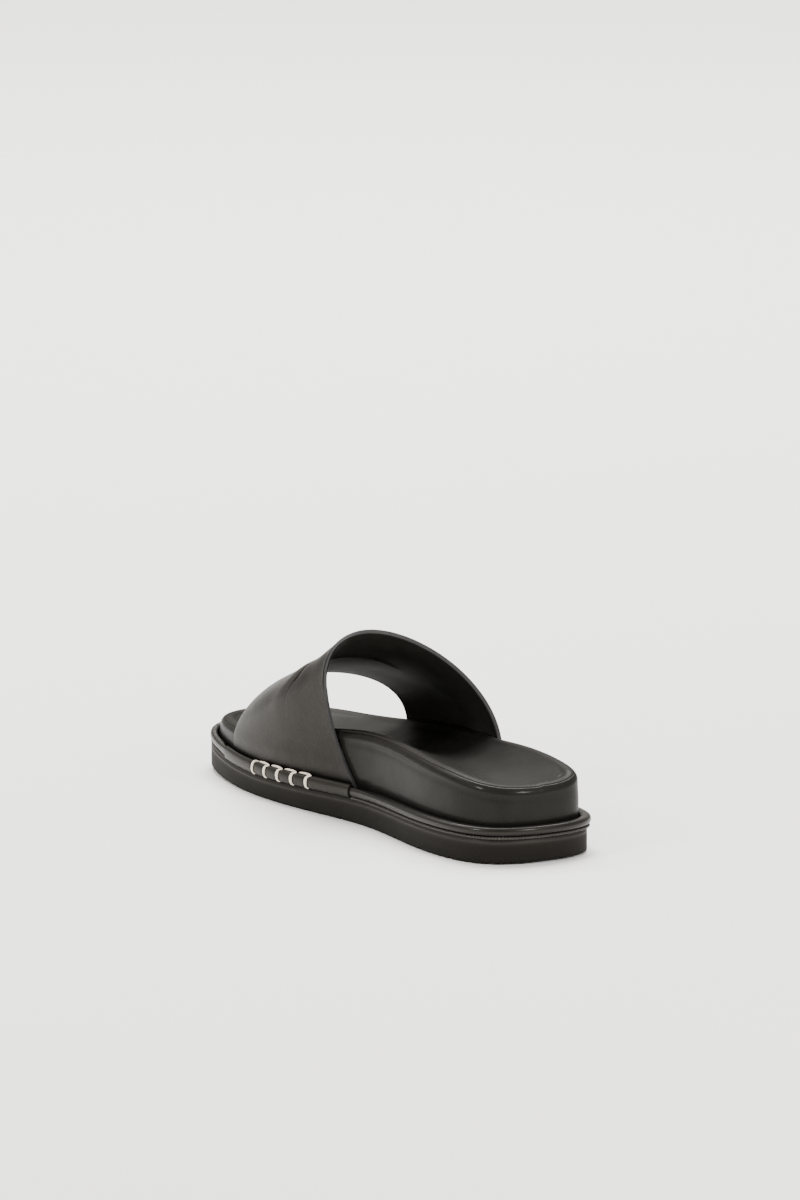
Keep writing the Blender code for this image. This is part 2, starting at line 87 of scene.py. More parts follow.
def add_camera():
    """A camera on a sphere round the aim: back is the unit vector from the aim to the camera."""
    turn, rise = math.radians(CAMERA_AZIMUTH), math.radians(CAMERA_ELEVATION)
    back = np.array([math.sin(turn) * math.cos(rise), -math.cos(turn) * math.cos(rise), math.sin(rise)])
    data = bpy.data.cameras.new("camera")
    data.lens = FOCAL_LENGTH_MM
    data.sensor_width = 36.0
    data.clip_end = 100.0
    camera = bpy.data.objects.new("camera", data)
    bpy.context.scene.collection.objects.link(camera)
    camera.location = np.array(CAMERA_AIM) + back * CAMERA_DISTANCE
    right = np.array([math.cos(turn), math.sin(turn), 0.0])
    up = np.cross(back, right)
    camera.rotation_mode = "QUATERNION"
    camera.rotation_quaternion = Matrix(np.column_stack([right, up, back]).tolist()).to_quaternion()
    bpy.context.scene.camera = camera
    return camera


camera = add_camera()
print("camera at", [round(value, 3) for value in camera.location])

# %% [markdown]
# ## Curves through short tables
#
# A last, the form that a shoe is built on, is described by a few sections. Each table below has a
# row for each section and a named column for each measure. One function draws a smooth curve
# through a column, and never swings past a row as a plain spline would.

# %% Tables and curves
def table(columns, *rows):
    """A table of sections: its columns by name, each as an array."""
    return dict(zip(columns.split(), np.array(rows, float).T))


def cubic(t, start, end, leaving, arriving):
    """The cubic from start to end, for t from 0 to 1, with the slopes that it leaves and arrives with."""
    return ((1 + 2 * t) * (1 - t) ** 2 * start + t * (1 - t) ** 2 * leaving
            + t ** 2 * (3 - 2 * t) * end - t ** 2 * (1 - t) * arriving)


def smooth(xs, ys, x):
    """A curve through a table's rows: cubics whose slopes are harmonic means, so none overshoots."""
    xs, ys, x = np.asarray(xs, float), np.asarray(ys, float), np.asarray(x, float)
    steps = np.diff(xs)
    rises = np.diff(ys) / steps
    slopes = np.zeros(len(xs))
    same_way = rises[:-1] * rises[1:] > 0
    means = 2 * rises[:-1] * rises[1:] / np.where(same_way, rises[:-1] + rises[1:], 1)
    slopes[1:-1] = np.where(same_way, means, 0)
    k = np.clip(np.searchsorted(xs, x, side="right") - 1, 0, len(steps) - 1)
    t = np.clip((x - xs[k]) / steps[k], 0, 1)
    return cubic(t, ys[k], ys[k + 1], steps[k] * slopes[k], steps[k] * slopes[k + 1])


def ease(value, start, end):
    """A smooth step: 0 before start, 1 after end."""
    t = np.clip((value - start) / (end - start), 0, 1)
    return t * t * (3 - 2 * t)


def hill(value, middle, width):
    """A bell: 1 at the middle, falling off over the width."""
    return np.exp(-((value - middle) / width) ** 2)


# %% [markdown]
# ## The outline of the sole
#
# Everything on this shoe follows the sole's outline: the rand, the footbed's wall and the band's
# two feet stand at fixed distances from it. So the outline is one function of the share of the way
# round, from the heel up the outer side to the toe and back down the inner side, together with
# a distance out along its normal.

# %% Outline
LENGTH = 0.290              # of the rubber sole, in metres like every size here
BALL_WIDTH = 0.112
OUTLINE = table(
    "along across",
    (0.000, 0.000), (0.032, -0.272), (0.130, -0.322), (0.300, -0.372), (0.460, -0.432),
    (0.640, -0.499), (0.800, -0.448), (0.920, -0.303), (0.986, -0.085), (1.000, 0.110),
    (0.972, 0.322), (0.872, 0.440), (0.720, 0.476), (0.560, 0.426), (0.400, 0.346),
    (0.260, 0.350), (0.130, 0.340), (0.030, 0.232))


def closed_spline(points, fine=3600):
    """The closed curve through points whose cubics also share their second derivatives."""
    count = len(points)
    lengths = np.linalg.norm(np.roll(points, -1, axis=0) - points, axis=1)
    before = np.roll(lengths, 1)
    system = np.diag(2 * (before + lengths))
    rows = np.arange(count)
    system[rows, (rows + 1) % count] = before
    system[rows, (rows - 1) % count] = lengths
    ahead = (np.roll(points, -1, axis=0) - points) / lengths[:, None]
    behind = np.roll(ahead, 1, axis=0)
    tangents = np.linalg.solve(system, 3 * (before[:, None] * ahead + lengths[:, None] * behind))
    u = np.arange(fine) / fine * count
    k = u.astype(int)
    t = (u - k)[:, None]
    nxt = (k + 1) % count
    span = lengths[k][:, None]
    return cubic(t, points[k], points[nxt], span * tangents[k], span * tangents[nxt])


LOOP = closed_spline(np.column_stack([OUTLINE["along"] * LENGTH, OUTLINE["across"] * BALL_WIDTH]))
LOOP = np.roll(LOOP, -int(np.argmin(LOOP[:, 0])), axis=0)
LOOP = np.vstack([LOOP, LOOP[:1]])
TOE = int(np.argmax(LOOP[:, 0]))
WALKED = np.concatenate([[0], np.cumsum(np.linalg.norm(np.diff(LOOP, axis=0), axis=1))])
WAY = np.where(np.arange(len(LOOP)) <= TOE, 0.5 * WALKED / WALKED[TOE],
               0.5 + 0.5 * (WALKED - WALKED[TOE]) / (WALKED[-1] - WALKED[TOE]))
TANGENT = np.gradient(LOOP, axis=0)
TANGENT[[0, -1]] = LOOP[1] - LOOP[-2]
NORMAL = np.column_stack([TANGENT[:, 1], -TANGENT[:, 0]]) / np.linalg.norm(TANGENT, axis=1)[:, None]


def outline(share, out=0.0):
    """Points beside the outline: the point at that share of the way round, plus its normal times out."""
    share, out = np.broadcast_arrays(np.asarray(share, float), np.asarray(out, float))
    place = np.interp(share % 1.0, WAY, np.arange(len(LOOP)))
    columns = np.arange(len(LOOP))
    point = np.stack([np.interp(place, columns, LOOP[:, k]) for k in (0, 1)], axis=-1)
    normal = np.stack([np.interp(place, columns, NORMAL[:, k]) for k in (0, 1)], axis=-1)
    return point + normal * out[..., None]


def way_round(along):
    """The share of the way round at which the inner side passes a share of the length."""
    return np.interp(-np.asarray(along) * LENGTH, -LOOP[TOE:, 0], WAY[TOE:])


sole_low, sole_high = (np.array(corner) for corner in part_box("outsole"))
loop_middle = (LOOP.min(axis=0) + LOOP.max(axis=0)) / 2
SHIFT = np.append((sole_low + sole_high)[:2] / 2 - loop_middle, 0.0)
print("way round the sole: %.0f mm" % (1000 * WALKED[-1]), "shift to the frame in mm:",
      np.round(1000 * SHIFT, 2))

# %% [markdown]
# ## Heights
#
# The rubber is thinner at the ball than at the heel, and its toe springs up. The footbed's edge is
# highest at the inner arch. These are functions of the share of the length, with the same numbers
# as the solids.

# %% Heights of the sole and the footbed
CLEAR = 0.0003              # gap between pieces that touch
ARCH_RIM = 0.0470           # highest point of the footbed's edge
HEEL_SEAT = 0.0265          # where the heel rests
INSTEP_HEIGHT = 0.0970      # top of the band at its back edge
TOE_SPRING = 0.0040         # lift of the tip of the toe
HEEL_BEVEL = 0.0014         # lift of the back of the heel
SPRING_START = 0.68         # shares of the length
BEVEL_END = 0.12
SOLE_THICKNESS = 0.0135     # at the heel
SOLE = table(
    "along thickness",
    (0.00, 1.00), (0.40, 0.95), (0.70, 0.84), (1.00, 0.93))
FOOTBED = table(
    "along outer_rim inner_rim bed",
    (0.00, 0.806, 0.806, 1.00),
    (0.05, 0.885, 0.850, 1.00),
    (0.16, 0.935, 0.932, 1.00),
    (0.39, 0.820, 0.998, 1.02),
    (0.62, 0.685, 0.840, 0.84),
    (0.85, 0.561, 0.606, 0.77),
    (1.00, 0.604, 0.604, 0.85))


def toe_lift(share):
    """The toe's spring as a height: a parabola that starts where the sole leaves the floor."""
    return TOE_SPRING * np.clip((share - SPRING_START) / (1 - SPRING_START), 0, None) ** 2


def underside(x):
    """Height of the rubber's underside: a parabola up to the heel's back and one up to the toe."""
    share = x / LENGTH
    return HEEL_BEVEL * np.clip((BEVEL_END - share) / BEVEL_END, 0, None) ** 2 + toe_lift(share)


def sole_top(x):
    """Height of the rubber's top face."""
    return SOLE_THICKNESS * smooth(SOLE["along"], SOLE["thickness"], x / LENGTH) + toe_lift(x / LENGTH)


def bed_height(x):
    """Height of the foot's bed along the middle of the footbed."""
    return HEEL_SEAT * smooth(FOOTBED["along"], FOOTBED["bed"], x / LENGTH)


def rim_height(share, x):
    """Height of the footbed's edge: the outer side's curve up to the toe, then the inner side's."""
    along = np.clip(x / LENGTH, 0, 1)
    outer = smooth(FOOTBED["along"], FOOTBED["outer_rim"], along)
    inner = smooth(FOOTBED["along"], FOOTBED["inner_rim"], along)
    return ARCH_RIM * np.where(share % 1.0 <= 0.5, outer, inner)


# %% [markdown]
# ## From a grid of points to a piece
#
# Each surface is a grid: one parameter runs along it and one goes across. A helper turns grids into
# one mesh, gives it a UV map in metres, merges the points where a seam or a pole closes, and turns
# the faces outwards. A grid may have a finish of its own, and a mark from 0 to 1 at each point,
# which a material reads to change its tone: along an edge, and in places as painted shade or painted
# light. Then the piece rides on the sandal's body and stands for its solid.

# %% Grid to mesh
MERGE = 1e-6                # points nearer than this are one point
BODY = list(frame["bodies"])[0]


def metres(points):
    """A UV map in metres: u runs along a row and v from row to row, each by its mean steps."""
    steps_u = np.linalg.norm(np.diff(points, axis=1), axis=2).mean(axis=0)
    steps_v = np.linalg.norm(np.diff(points, axis=0), axis=2).mean(axis=1)
    u, v = (np.concatenate([[0], np.cumsum(steps)]) for steps in (steps_u, steps_v))
    return np.stack(np.meshgrid(u, v), axis=-1)


def sheet(points, finish=0, mark=0.0):
    """A grid for add_piece: points, UVs, the number of its finish, and a mark from 0 to 1."""
    return points, metres(points), finish, np.broadcast_to(mark, points.shape[:2])


def quads(points, start=0):
    """The faces of a grid: each point with its neighbours, numbered row by row from start."""
    rows, columns = points.shape[:2]
    number = start + np.arange(rows * columns).reshape(rows, columns)
    faces = [number[:-1, :-1], number[:-1, 1:], number[1:, 1:], number[1:, :-1]]
    return np.stack(faces, axis=-1).reshape(-1, 4)


def add_piece(name, grids, materials, node=None, sharp=60.0):
    """One mesh from sheets, each with its finish; edges past the sharp angle in degrees stay sharp."""
    corners, faces, uvs, finishes, marks, start = [], [], [], [], [], 0
    for points, uv, finish, mark in grids:
        faces.append(quads(points, start))
        corners.append(points.reshape(-1, 3))
        uvs.append(uv.reshape(-1, 2))
        finishes.append(np.full(len(faces[-1]), finish))
        marks.append(mark.ravel())
        start += mark.size
    corners, faces, uvs = np.vstack(corners) + SHIFT, np.vstack(faces), np.vstack(uvs)
    mesh = bpy.data.meshes.new(name)
    mesh.from_pydata(corners.tolist(), [], faces.tolist())
    layer = mesh.uv_layers.new(name="surface")
    layer.data.foreach_set("uv", uvs[faces.ravel()].astype(np.float32).ravel())
    mesh.polygons.foreach_set("material_index", np.concatenate(finishes).astype(np.int32))
    mesh.attributes.new("mark", "FLOAT", "POINT").data.foreach_set("value", np.concatenate(marks))
    shape = bmesh.new()
    shape.from_mesh(mesh)
    bmesh.ops.remove_doubles(shape, verts=shape.verts, dist=MERGE)
    bmesh.ops.recalc_face_normals(shape, faces=shape.faces)
    shape.to_mesh(mesh)
    shape.free()
    mesh.shade_smooth()
    mesh.set_sharp_from_angle(angle=math.radians(sharp))
    for material in materials:
        mesh.materials.append(material)
    piece = bpy.data.objects.new(name, mesh)
    bpy.context.scene.collection.objects.link(piece)
    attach(piece, BODY)
    if node is not None:
        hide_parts(node)
    mesh.calc_loop_triangles()
    print("%s: %d triangles" % (name, len(mesh.loop_triangles)))


def across(ring, shares):
    """Rows of points from a ring towards the ring's opposite side, at shares of that way."""
    return ring + (ring[::-1] - ring) * np.asarray(shares)[:, None, None]


# %% [markdown]
# ## Materials
#
# Black leather and black rubber hold little colour. What tells them apart is how they give back
# the light: smooth calf has a soft sheen that its fine grain breaks up, the rolled rand is slicker,
# and the moulded sole is nearly matt. So each material is mostly roughness and relief, on a dark
# warm base colour.

# %% Helpers for materials
def linear(hex_colour):
    """An sRGB hex colour as linear light with alpha: the standard curve, a line near black."""
    values = [int(hex_colour[k:k + 2], 16) / 255 for k in (1, 3, 5)]
    return [v / 12.92 if v <= 0.04045 else ((v + 0.055) / 1.055) ** 2.4 for v in values] + [1.0]


def connect(tree, node, links):
    """Join outputs to a node's sockets, by name."""
    for socket, output in links.items():
        tree.links.new(output, node.inputs[socket])


def add_node(tree, kind, values={}, links={}, stops=(), **settings):
    """Add one node: settings are its properties, values fill its sockets, links join other outputs,
    and stops are a colour ramp's places and colours."""
    node = tree.nodes.new(kind)
    for name, value in settings.items():
        setattr(node, name, value)
    for socket, value in values.items():
        node.inputs[socket].default_value = value
    for k, (place, colour) in enumerate(stops):
        stop = node.color_ramp.elements[k]
        stop.position, stop.color = place, linear(colour)
    connect(tree, node, links)
    return node


def new_material(name, **sockets):
    """A material with its Principled BSDF, whose sockets are set by name."""
    material = bpy.data.materials.new(name)
    material.use_nodes = True
    shader = material.node_tree.nodes["Principled BSDF"]
    for socket, value in sockets.items():
        shader.inputs[socket.replace("_", " ")].default_value = value
    return material, material.node_tree, shader


# %% [markdown]
# ### Leather
#
# Full-grain calf is covered with tiny rounded cells between fine creases, the pores and folds of
# the skin. A Voronoi pattern gives such cells, and a soft noise presses the hide a little unevenly
# and makes the finish shinier where it was rubbed. The real grain is about 0.3 mm; it is drawn
# coarser, so that it shows in a picture of the whole shoe.

# %% Leather material
SKIN_TINT = "#fff3e4"       # aniline leather gives back light a little warm


def make_leather(name, colour, worn, edge, grain_mm, relief, roughness, spread, shine, coat):
    """Grain and an uneven hide as bump, a drifting roughness, and a dull tone where marked: at edges, or as
    painted shade.
    """
    material, tree, shader = new_material(name, IOR=1.46, Specular_Tint=linear(SKIN_TINT),
                                          Coat_Weight=coat, Coat_Roughness=0.16)
    place = add_node(tree, "ShaderNodeTexCoord").outputs["Object"]
    cells = add_node(tree, "ShaderNodeTexVoronoi", {"Scale": 1000 / grain_mm, "Randomness": 1.0},
                     {"Vector": place}, feature="F1")
    hide = add_node(tree, "ShaderNodeTexNoise", {"Scale": 90.0, "Detail": 5.0, "Roughness": 0.55},
                    {"Vector": place})
    drift = add_node(tree, "ShaderNodeTexNoise", {"Scale": 28.0, "Detail": 3.0}, {"Vector": place})
    gloss = add_node(tree, "ShaderNodeMapRange",
                     {"From Min": 0.3, "From Max": 0.7, "To Min": roughness - spread,
                      "To Max": roughness + spread}, {"Value": drift.outputs["Fac"]})
    ramp = add_node(tree, "ShaderNodeValToRGB", {}, {"Fac": hide.outputs["Fac"]},
                    stops=((0.35, colour), (0.70, worn)))
    mark = add_node(tree, "ShaderNodeAttribute", attribute_name="mark")
    tone = add_node(tree, "ShaderNodeMix", {"B": linear(edge)},
                    {"Factor": mark.outputs["Fac"], "A": ramp.outputs["Color"]}, data_type="RGBA")
    dulled = add_node(tree, "ShaderNodeMapRange", {"To Min": shine, "To Max": 0.02},
                      {"Value": mark.outputs["Fac"]})
    skin = add_node(tree, "ShaderNodeBump", {"Strength": 0.25, "Distance": 0.0006},
                    {"Height": hide.outputs["Fac"]})
    grain = add_node(tree, "ShaderNodeBump", {"Strength": relief, "Distance": 0.00012},
                     {"Height": cells.outputs["Distance"], "Normal": skin.outputs["Normal"]}, invert=True)
    connect(tree, shader, {"Base Color": tone.outputs["Result"], "Roughness": gloss.outputs["Result"],
                           "Specular IOR Level": dulled.outputs["Result"], "Normal": grain.outputs["Normal"]})
    return material


# On the band, the marked tone #090807 is painted shade: in the crease, above the rand and on the front edge.
band_leather = make_leather("full-grain calf, aniline dyed black", "#141311", "#1a1816", "#090807",
                            0.9, 0.45, 0.42, 0.05, 0.16, 0.03)
footbed_leather = make_leather("smooth calf, stretched and glued", "#161513", "#1b1a18", "#090908",
                               0.8, 0.25, 0.42, 0.04, 0.06, 0.12)
sock_leather = make_leather("lining calf, drummed smooth", "#121110", "#171614", "#33302c",
                            0.8, 0.3, 0.48, 0.05, 0.08, 0.02)
sleeve_leather = make_leather("calf rolled over a core", "#131210", "#191816", "#0b0a09",
                              0.8, 0.3, 0.40, 0.05, 0.22, 0.03)
lining_leather = make_leather("lining calf, brushed matt", "#191816", "#1e1d1b", "#050505",
                              0.7, 0.3, 0.62, 0.05, 0.13, 0.0)
cut_edge = make_leather("edge dressing, burnished over cut calf", "#343435", "#3e3e3f", "#0a0a0a",
                        0.5, 0.5, 0.50, 0.05, 0.18, 0.0)

# %% [markdown]
# ### Rubber
#
# The sole is moulded microcellular rubber, nearly matt, with the fine tooth of its mould. The rand
# is extruded and buffed, so it is satin, with faint marks across it about 0.4 mm apart.

# %% Rubber materials
def make_sole_rubber():
    """Matt rubber, satin where it is marked and painted lighter there as painted light: the noise is the
    mould's tooth, coarser noise is dust.
    """
    material, tree, shader = new_material("microcellular rubber, moulded", IOR=1.5, Specular_IOR_Level=0.13,
                                          Specular_Tint=linear(SKIN_TINT))
    place = add_node(tree, "ShaderNodeTexCoord").outputs["Object"]
    tooth = add_node(tree, "ShaderNodeTexNoise", {"Scale": 2200.0, "Detail": 3.0}, {"Vector": place})
    dust = add_node(tree, "ShaderNodeTexNoise", {"Scale": 60.0, "Detail": 6.0}, {"Vector": place})
    ramp = add_node(tree, "ShaderNodeValToRGB", {}, {"Fac": dust.outputs["Fac"]},
                    stops=((0.40, "#131211"), (0.75, "#161513")))
    mark = add_node(tree, "ShaderNodeAttribute", attribute_name="mark")
    # The marked tone #2b2a28 is painted light on the sloped shoulder strip; the lower roughness there is the
    # strip's satin finish.
    tone = add_node(tree, "ShaderNodeMix", {"B": linear("#2b2a28")},
                    {"Factor": mark.outputs["Fac"], "A": ramp.outputs["Color"]}, data_type="RGBA")
    gloss = add_node(tree, "ShaderNodeMapRange", {"To Min": 0.68, "To Max": 0.42},
                     {"Value": mark.outputs["Fac"]})
    bump = add_node(tree, "ShaderNodeBump", {"Strength": 0.4, "Distance": 0.00008},
                    {"Height": tooth.outputs["Fac"]})
    connect(tree, shader, {"Base Color": tone.outputs["Result"], "Roughness": gloss.outputs["Result"],
                           "Normal": bump.outputs["Normal"]})
    return material


def make_rand_rubber(name, colour, glossy, matt):
    """Satin rubber: a noise drawn out along u, round the section, gives the buffing marks."""
    material, tree, shader = new_material(name, Base_Color=linear(colour), IOR=1.5,
                                          Specular_IOR_Level=0.18, Specular_Tint=linear(SKIN_TINT),
                                          Coat_Weight=0.15, Coat_Roughness=0.11)
    surface = add_node(tree, "ShaderNodeTexCoord").outputs["UV"]
    drawn = add_node(tree, "ShaderNodeMapping", {"Scale": (60.0, 2500.0, 1.0)}, {"Vector": surface})
    lines = add_node(tree, "ShaderNodeTexNoise", {"Scale": 1.0, "Detail": 3.0},
                     {"Vector": drawn.outputs["Vector"]})
    gloss = add_node(tree, "ShaderNodeMapRange", {"To Min": glossy, "To Max": matt},
                     {"Value": lines.outputs["Fac"]})
    bump = add_node(tree, "ShaderNodeBump", {"Strength": 0.4, "Distance": 0.00015},
                    {"Height": lines.outputs["Fac"]})
    connect(tree, shader, {"Roughness": gloss.outputs["Result"], "Normal": bump.outputs["Normal"]})
    return material


sole_rubber = make_sole_rubber()
rand_rubber = make_rand_rubber("rubber bead, extruded", "#100f0e", 0.30, 0.44)
welt_rubber = make_rand_rubber("rubber strip, knurled and buffed", "#343230", 0.34, 0.50)

# %% [markdown]
# ### Thread
#
# The whip stitches are thick waxed linen in cream. Its strands are modelled, so the material only
# adds fine fibres that lie round it, and the dull gloss of wax.

# %% Thread material
def make_thread():
    """Waxed linen: the fibres are a noise drawn out along u, round the thread."""
    material, tree, shader = new_material("waxed linen thread, cream", IOR=1.45, Sheen_Weight=0.2,
                                          Roughness=0.55)
    surface = add_node(tree, "ShaderNodeTexCoord").outputs["UV"]
    drawn = add_node(tree, "ShaderNodeMapping", {"Scale": (400.0, 6000.0, 1.0)}, {"Vector": surface})
    fibre = add_node(tree, "ShaderNodeTexNoise", {"Scale": 1.0, "Detail": 3.0},
                     {"Vector": drawn.outputs["Vector"]})
    ramp = add_node(tree, "ShaderNodeValToRGB", {}, {"Fac": fibre.outputs["Fac"]},
                    stops=((0.30, "#cdbfa8"), (0.65, "#efe6d6")))
    bump = add_node(tree, "ShaderNodeBump", {"Strength": 0.3, "Distance": 0.0001},
                    {"Height": fibre.outputs["Fac"]})
    connect(tree, shader, {"Base Color": ramp.outputs["Color"], "Normal": bump.outputs["Normal"]})
    return material


thread = make_thread()
print("materials:", ", ".join(sorted(m.name for m in bpy.data.materials)))

# %% [markdown]
# ## The rubber sole
#
# The sole is one closed grid. A column starts on the middle line underneath, runs out to the
# bottom edge, round it and up the side, over the sloped shoulder and back in to the middle line on
# top. The tread's ripples and cross cuts are added to the height as functions of the distance
# from the heel, which also nicks the bottom edge, as on the real sole.

# %% Rubber sole
SOLE_EDGE = 0.0008          # radius along the bottom edge
SHOULDER_HEIGHT = 0.0022    # sloped strip along the top of the side
SHOULDER_DEPTH = 0.0013     # a little deeper than the solid's, so that it catches the light
SIPE_PITCH = 0.0260         # the cross cuts
SIPE_WIDTH = 0.0016
SIPE_DEPTH = 0.0012
FIRST_SIPE = 0.030          # from the back of the heel
SIPE_COUNT = 10
RIPPLE_PITCH = 0.0045       # the fine tread between them
RIPPLE_DEPTH = 0.0004
SOLE_COLUMNS = 1600


def tread(x):
    """How deep the tread is cut at x: shallow ripples, and square cross cuts with eased walls."""
    ripple = RIPPLE_DEPTH * np.clip(np.cos(2 * math.pi * x / RIPPLE_PITCH) - 0.55, 0, None) / 0.45
    nearest = np.clip(np.round((x - FIRST_SIPE) / SIPE_PITCH), 0, SIPE_COUNT - 1)
    off = np.abs(x - FIRST_SIPE - nearest * SIPE_PITCH)
    return np.maximum(ripple, SIPE_DEPTH * (1 - ease(off, 0.35 * SIPE_WIDTH, 0.65 * SIPE_WIDTH)))


def sole_grid():
    """Rows from the underside's middle line to the top's: a height over the outline or its inside."""
    share = np.linspace(0, 1, SOLE_COLUMNS + 1)
    rows = []
    for flat in across(outline(share, -SOLE_EDGE), np.linspace(0.5, 0.03, 14)):
        rows.append(np.column_stack([flat, underside(flat[:, 0]) + tread(flat[:, 0])]))
    for angle in np.linspace(0, math.pi / 2, 5):
        flat = outline(share, -SOLE_EDGE * (1 - math.sin(angle)))
        up = SOLE_EDGE * (1 - math.cos(angle))
        rows.append(np.column_stack([flat, underside(flat[:, 0]) + np.maximum(up, tread(flat[:, 0]))]))
    side = outline(share)
    floor, top = underside(side[:, 0]), sole_top(side[:, 0])
    low, high = floor + SOLE_EDGE, top - SHOULDER_HEIGHT
    for part in (0.06, 0.14, 0.4, 0.7, 0.84, 0.92, 0.97):
        height = np.maximum(low + (high - low) * part, floor + tread(side[:, 0]))
        rows.append(np.column_stack([side, height]))
    # The mark on the shoulder and the top makes them satin and paints them lighter, as painted light.
    marks = [0.0] * (len(rows) - 3) + [0.1, 0.4, 0.8]
    for out, down in ((0.00, 1.0), (0.08, 0.92), (0.50, 0.50), (0.88, 0.12), (1.1, 0.0)):
        flat = outline(share, -SHOULDER_DEPTH * out)
        rows.append(np.column_stack([flat, sole_top(flat[:, 0]) - SHOULDER_HEIGHT * down]))
    for flat in across(flat, (0.1, 0.3, 0.5)):
        rows.append(np.column_stack([flat, sole_top(flat[:, 0])]))
    marks += [1.0] * (len(rows) - len(marks))
    return np.array(rows), np.array(marks)[:, None]


grid, mark = sole_grid()
add_piece("outsole_rubber", [sheet(grid, mark=mark)], [sole_rubber], "outsole", 50.0)

# %% [markdown]
# ## Welt strip, rand and sleeve
#
# Three pieces are a section carried along the outline: the thin knurled strip on the rubber, the
# rounded rand above it, and the leather sleeve that takes their place along the inner forefoot.
# Blender could sweep a bevelled curve, but a section that changes on the way, with knurls, dents
# and domed ends, is simpler as two arrays: how far out and how high each point is.

# %% Sections carried along the outline
FOOTBED_INSET = 0.0048      # from the sole's outline in to the footbed's wall
BAND_WALL = 0.0022
BAND_CLEAR = 0.0005         # gap on each face of the band
WELT_THICKNESS = 0.0009
WELT_PROUD = 0.0004         # how far the flat strip stands out over the rubber
RAND_HEIGHT = 0.0044
RAND_PROUD = 0.0020         # how far the bead does
RAND_PROUD_TOE = 0.0004
GROOVE = 0.0012             # dark slot between the rand and the footbed
SLEEVE_HEIGHT = 0.0069
SLEEVE_PROUD = 0.0008       # beyond the rand
SLEEVE_SQUARENESS = 2.1     # 2 is an ellipse
SLEEVE_BACK = 0.431         # shares of the length
SLEEVE_FRONT = 0.824
BESIDE_BAND = -FOOTBED_INSET + BAND_WALL + 2 * BAND_CLEAR
BAND_FEET = {"outer": (0.366, 0.790), "inner": (0.424, 0.807)}   # from and to, as shares


def bent(value, power):
    """A power that keeps the sign: it bends a circle's cosine and sine into a superellipse's."""
    return np.sign(value) * np.abs(value) ** power


def section(left, right, low, high, squareness, sides):
    """Superellipses between two distances out and two heights, one for each place along the way."""
    turn = math.pi + np.linspace(0, 2 * math.pi, sides + 1)
    wide, tall = bent(np.cos(turn), 2 / squareness), bent(np.sin(turn), 2 / squareness)
    left, right, low, high = (np.asarray(value)[:, None] for value in (left, right, low, high))
    return (left + right) / 2 + (right - left) / 2 * wide, (low + high) / 2 + (high - low) / 2 * tall


def carried(share, out, up):
    """A section along the outline: the outline's point and normal give x and y, and up is the height."""
    return np.dstack([outline(share[:, None], out), up])


def domed(points, bulge):
    """Close both ends of a sweep: the end section shrinks to its centre while it moves out a little."""
    ends = []
    for end, inside in ((points[0], points[1]), (points[-1], points[-2])):
        centre = end[:-1].mean(axis=0)
        ahead = centre - inside[:-1].mean(axis=0)
        ahead = ahead / np.linalg.norm(ahead)
        turn = np.linspace(0, math.pi / 2, 5)[1:, None, None]
        ends.append(centre + (end - centre)[None] * np.cos(turn) + bulge * np.sin(turn) * ahead)
    return np.concatenate([ends[0][::-1], points, ends[1]])


def beside_the_band(share):
    """How much of the ledge the band takes: 1 along its feet, easing to 0 past their ends."""
    x = outline(share)[:, 0] / LENGTH
    margin = 0.03
    taken = np.zeros(len(share))
    for name, side in (("outer", share % 1.0 < 0.5), ("inner", share % 1.0 >= 0.5)):
        back, front = BAND_FEET[name]
        inside = np.clip(np.minimum(x - back + margin, front + margin - x) / margin + 1, 0, 1)
        taken = np.where(side, inside, taken)
    return taken


def proud_of_rubber(share):
    """How far the rand stands out over the rubber: a curve that falls from the waist to the toe."""
    along = np.clip(outline(share)[:, 0] / LENGTH, 0, 1)
    return smooth((0, SLEEVE_BACK, 1), (RAND_PROUD, RAND_PROUD, RAND_PROUD_TOE), along)


round_the_back = np.array([way_round(SLEEVE_BACK), 1 + way_round(SLEEVE_FRONT)])
print("the rand runs over %.0f mm" % (1000 * WALKED[-1] * np.ptp(round_the_back)))

# %% [markdown]
# The strip is knurled like a coin's edge, at a slant, so that it looks like a twisted cord.

# %% Welt strip
KNURL_PITCH = 0.0017
KNURL_DEPTH = 0.00025
WELT_BEAD = 0.0011          # how much further out the knurled bead stands than the flat strip
WELT_SINK = 0.0004          # into the rubber, so that no light comes through under it


def welt_grid():
    """A flat bar whose outer edge is a small bead with slanted ribs: a wave of way plus height."""
    share = np.linspace(*round_the_back, 3400)
    low = sole_top(outline(share)[:, 0]) - WELT_SINK
    proud = np.minimum(WELT_PROUD + WELT_BEAD, proud_of_rubber(share) - CLEAR)
    out, up = section(np.full(len(share), BESIDE_BAND), proud,
                      low, low + WELT_THICKNESS + 2 * CLEAR, 2.6, 14)
    way = share[:, None] * WALKED[-1]
    phase = 2 * math.pi * (way + 0.9 * (up - low[:, None])) / KNURL_PITCH
    outer = ease(out, -0.0004, 0.0004)
    return carried(share, out + outer * KNURL_DEPTH * (np.cos(phase) - 1), up)


grid = domed(welt_grid(), 0.0)
add_piece("welt_strip", [sheet(grid)], [welt_rubber], "welt", 70.0)

# %% [markdown]
# The rand is a bead of about 6 by 5 mm, narrower at the toe, where small folds are pressed into
# its top. Behind the band it gives way, so that the band can stand on the sole.

# %% Rand
FOLD_PITCH = 0.0031
FOLD_DEPTH = 0.00008


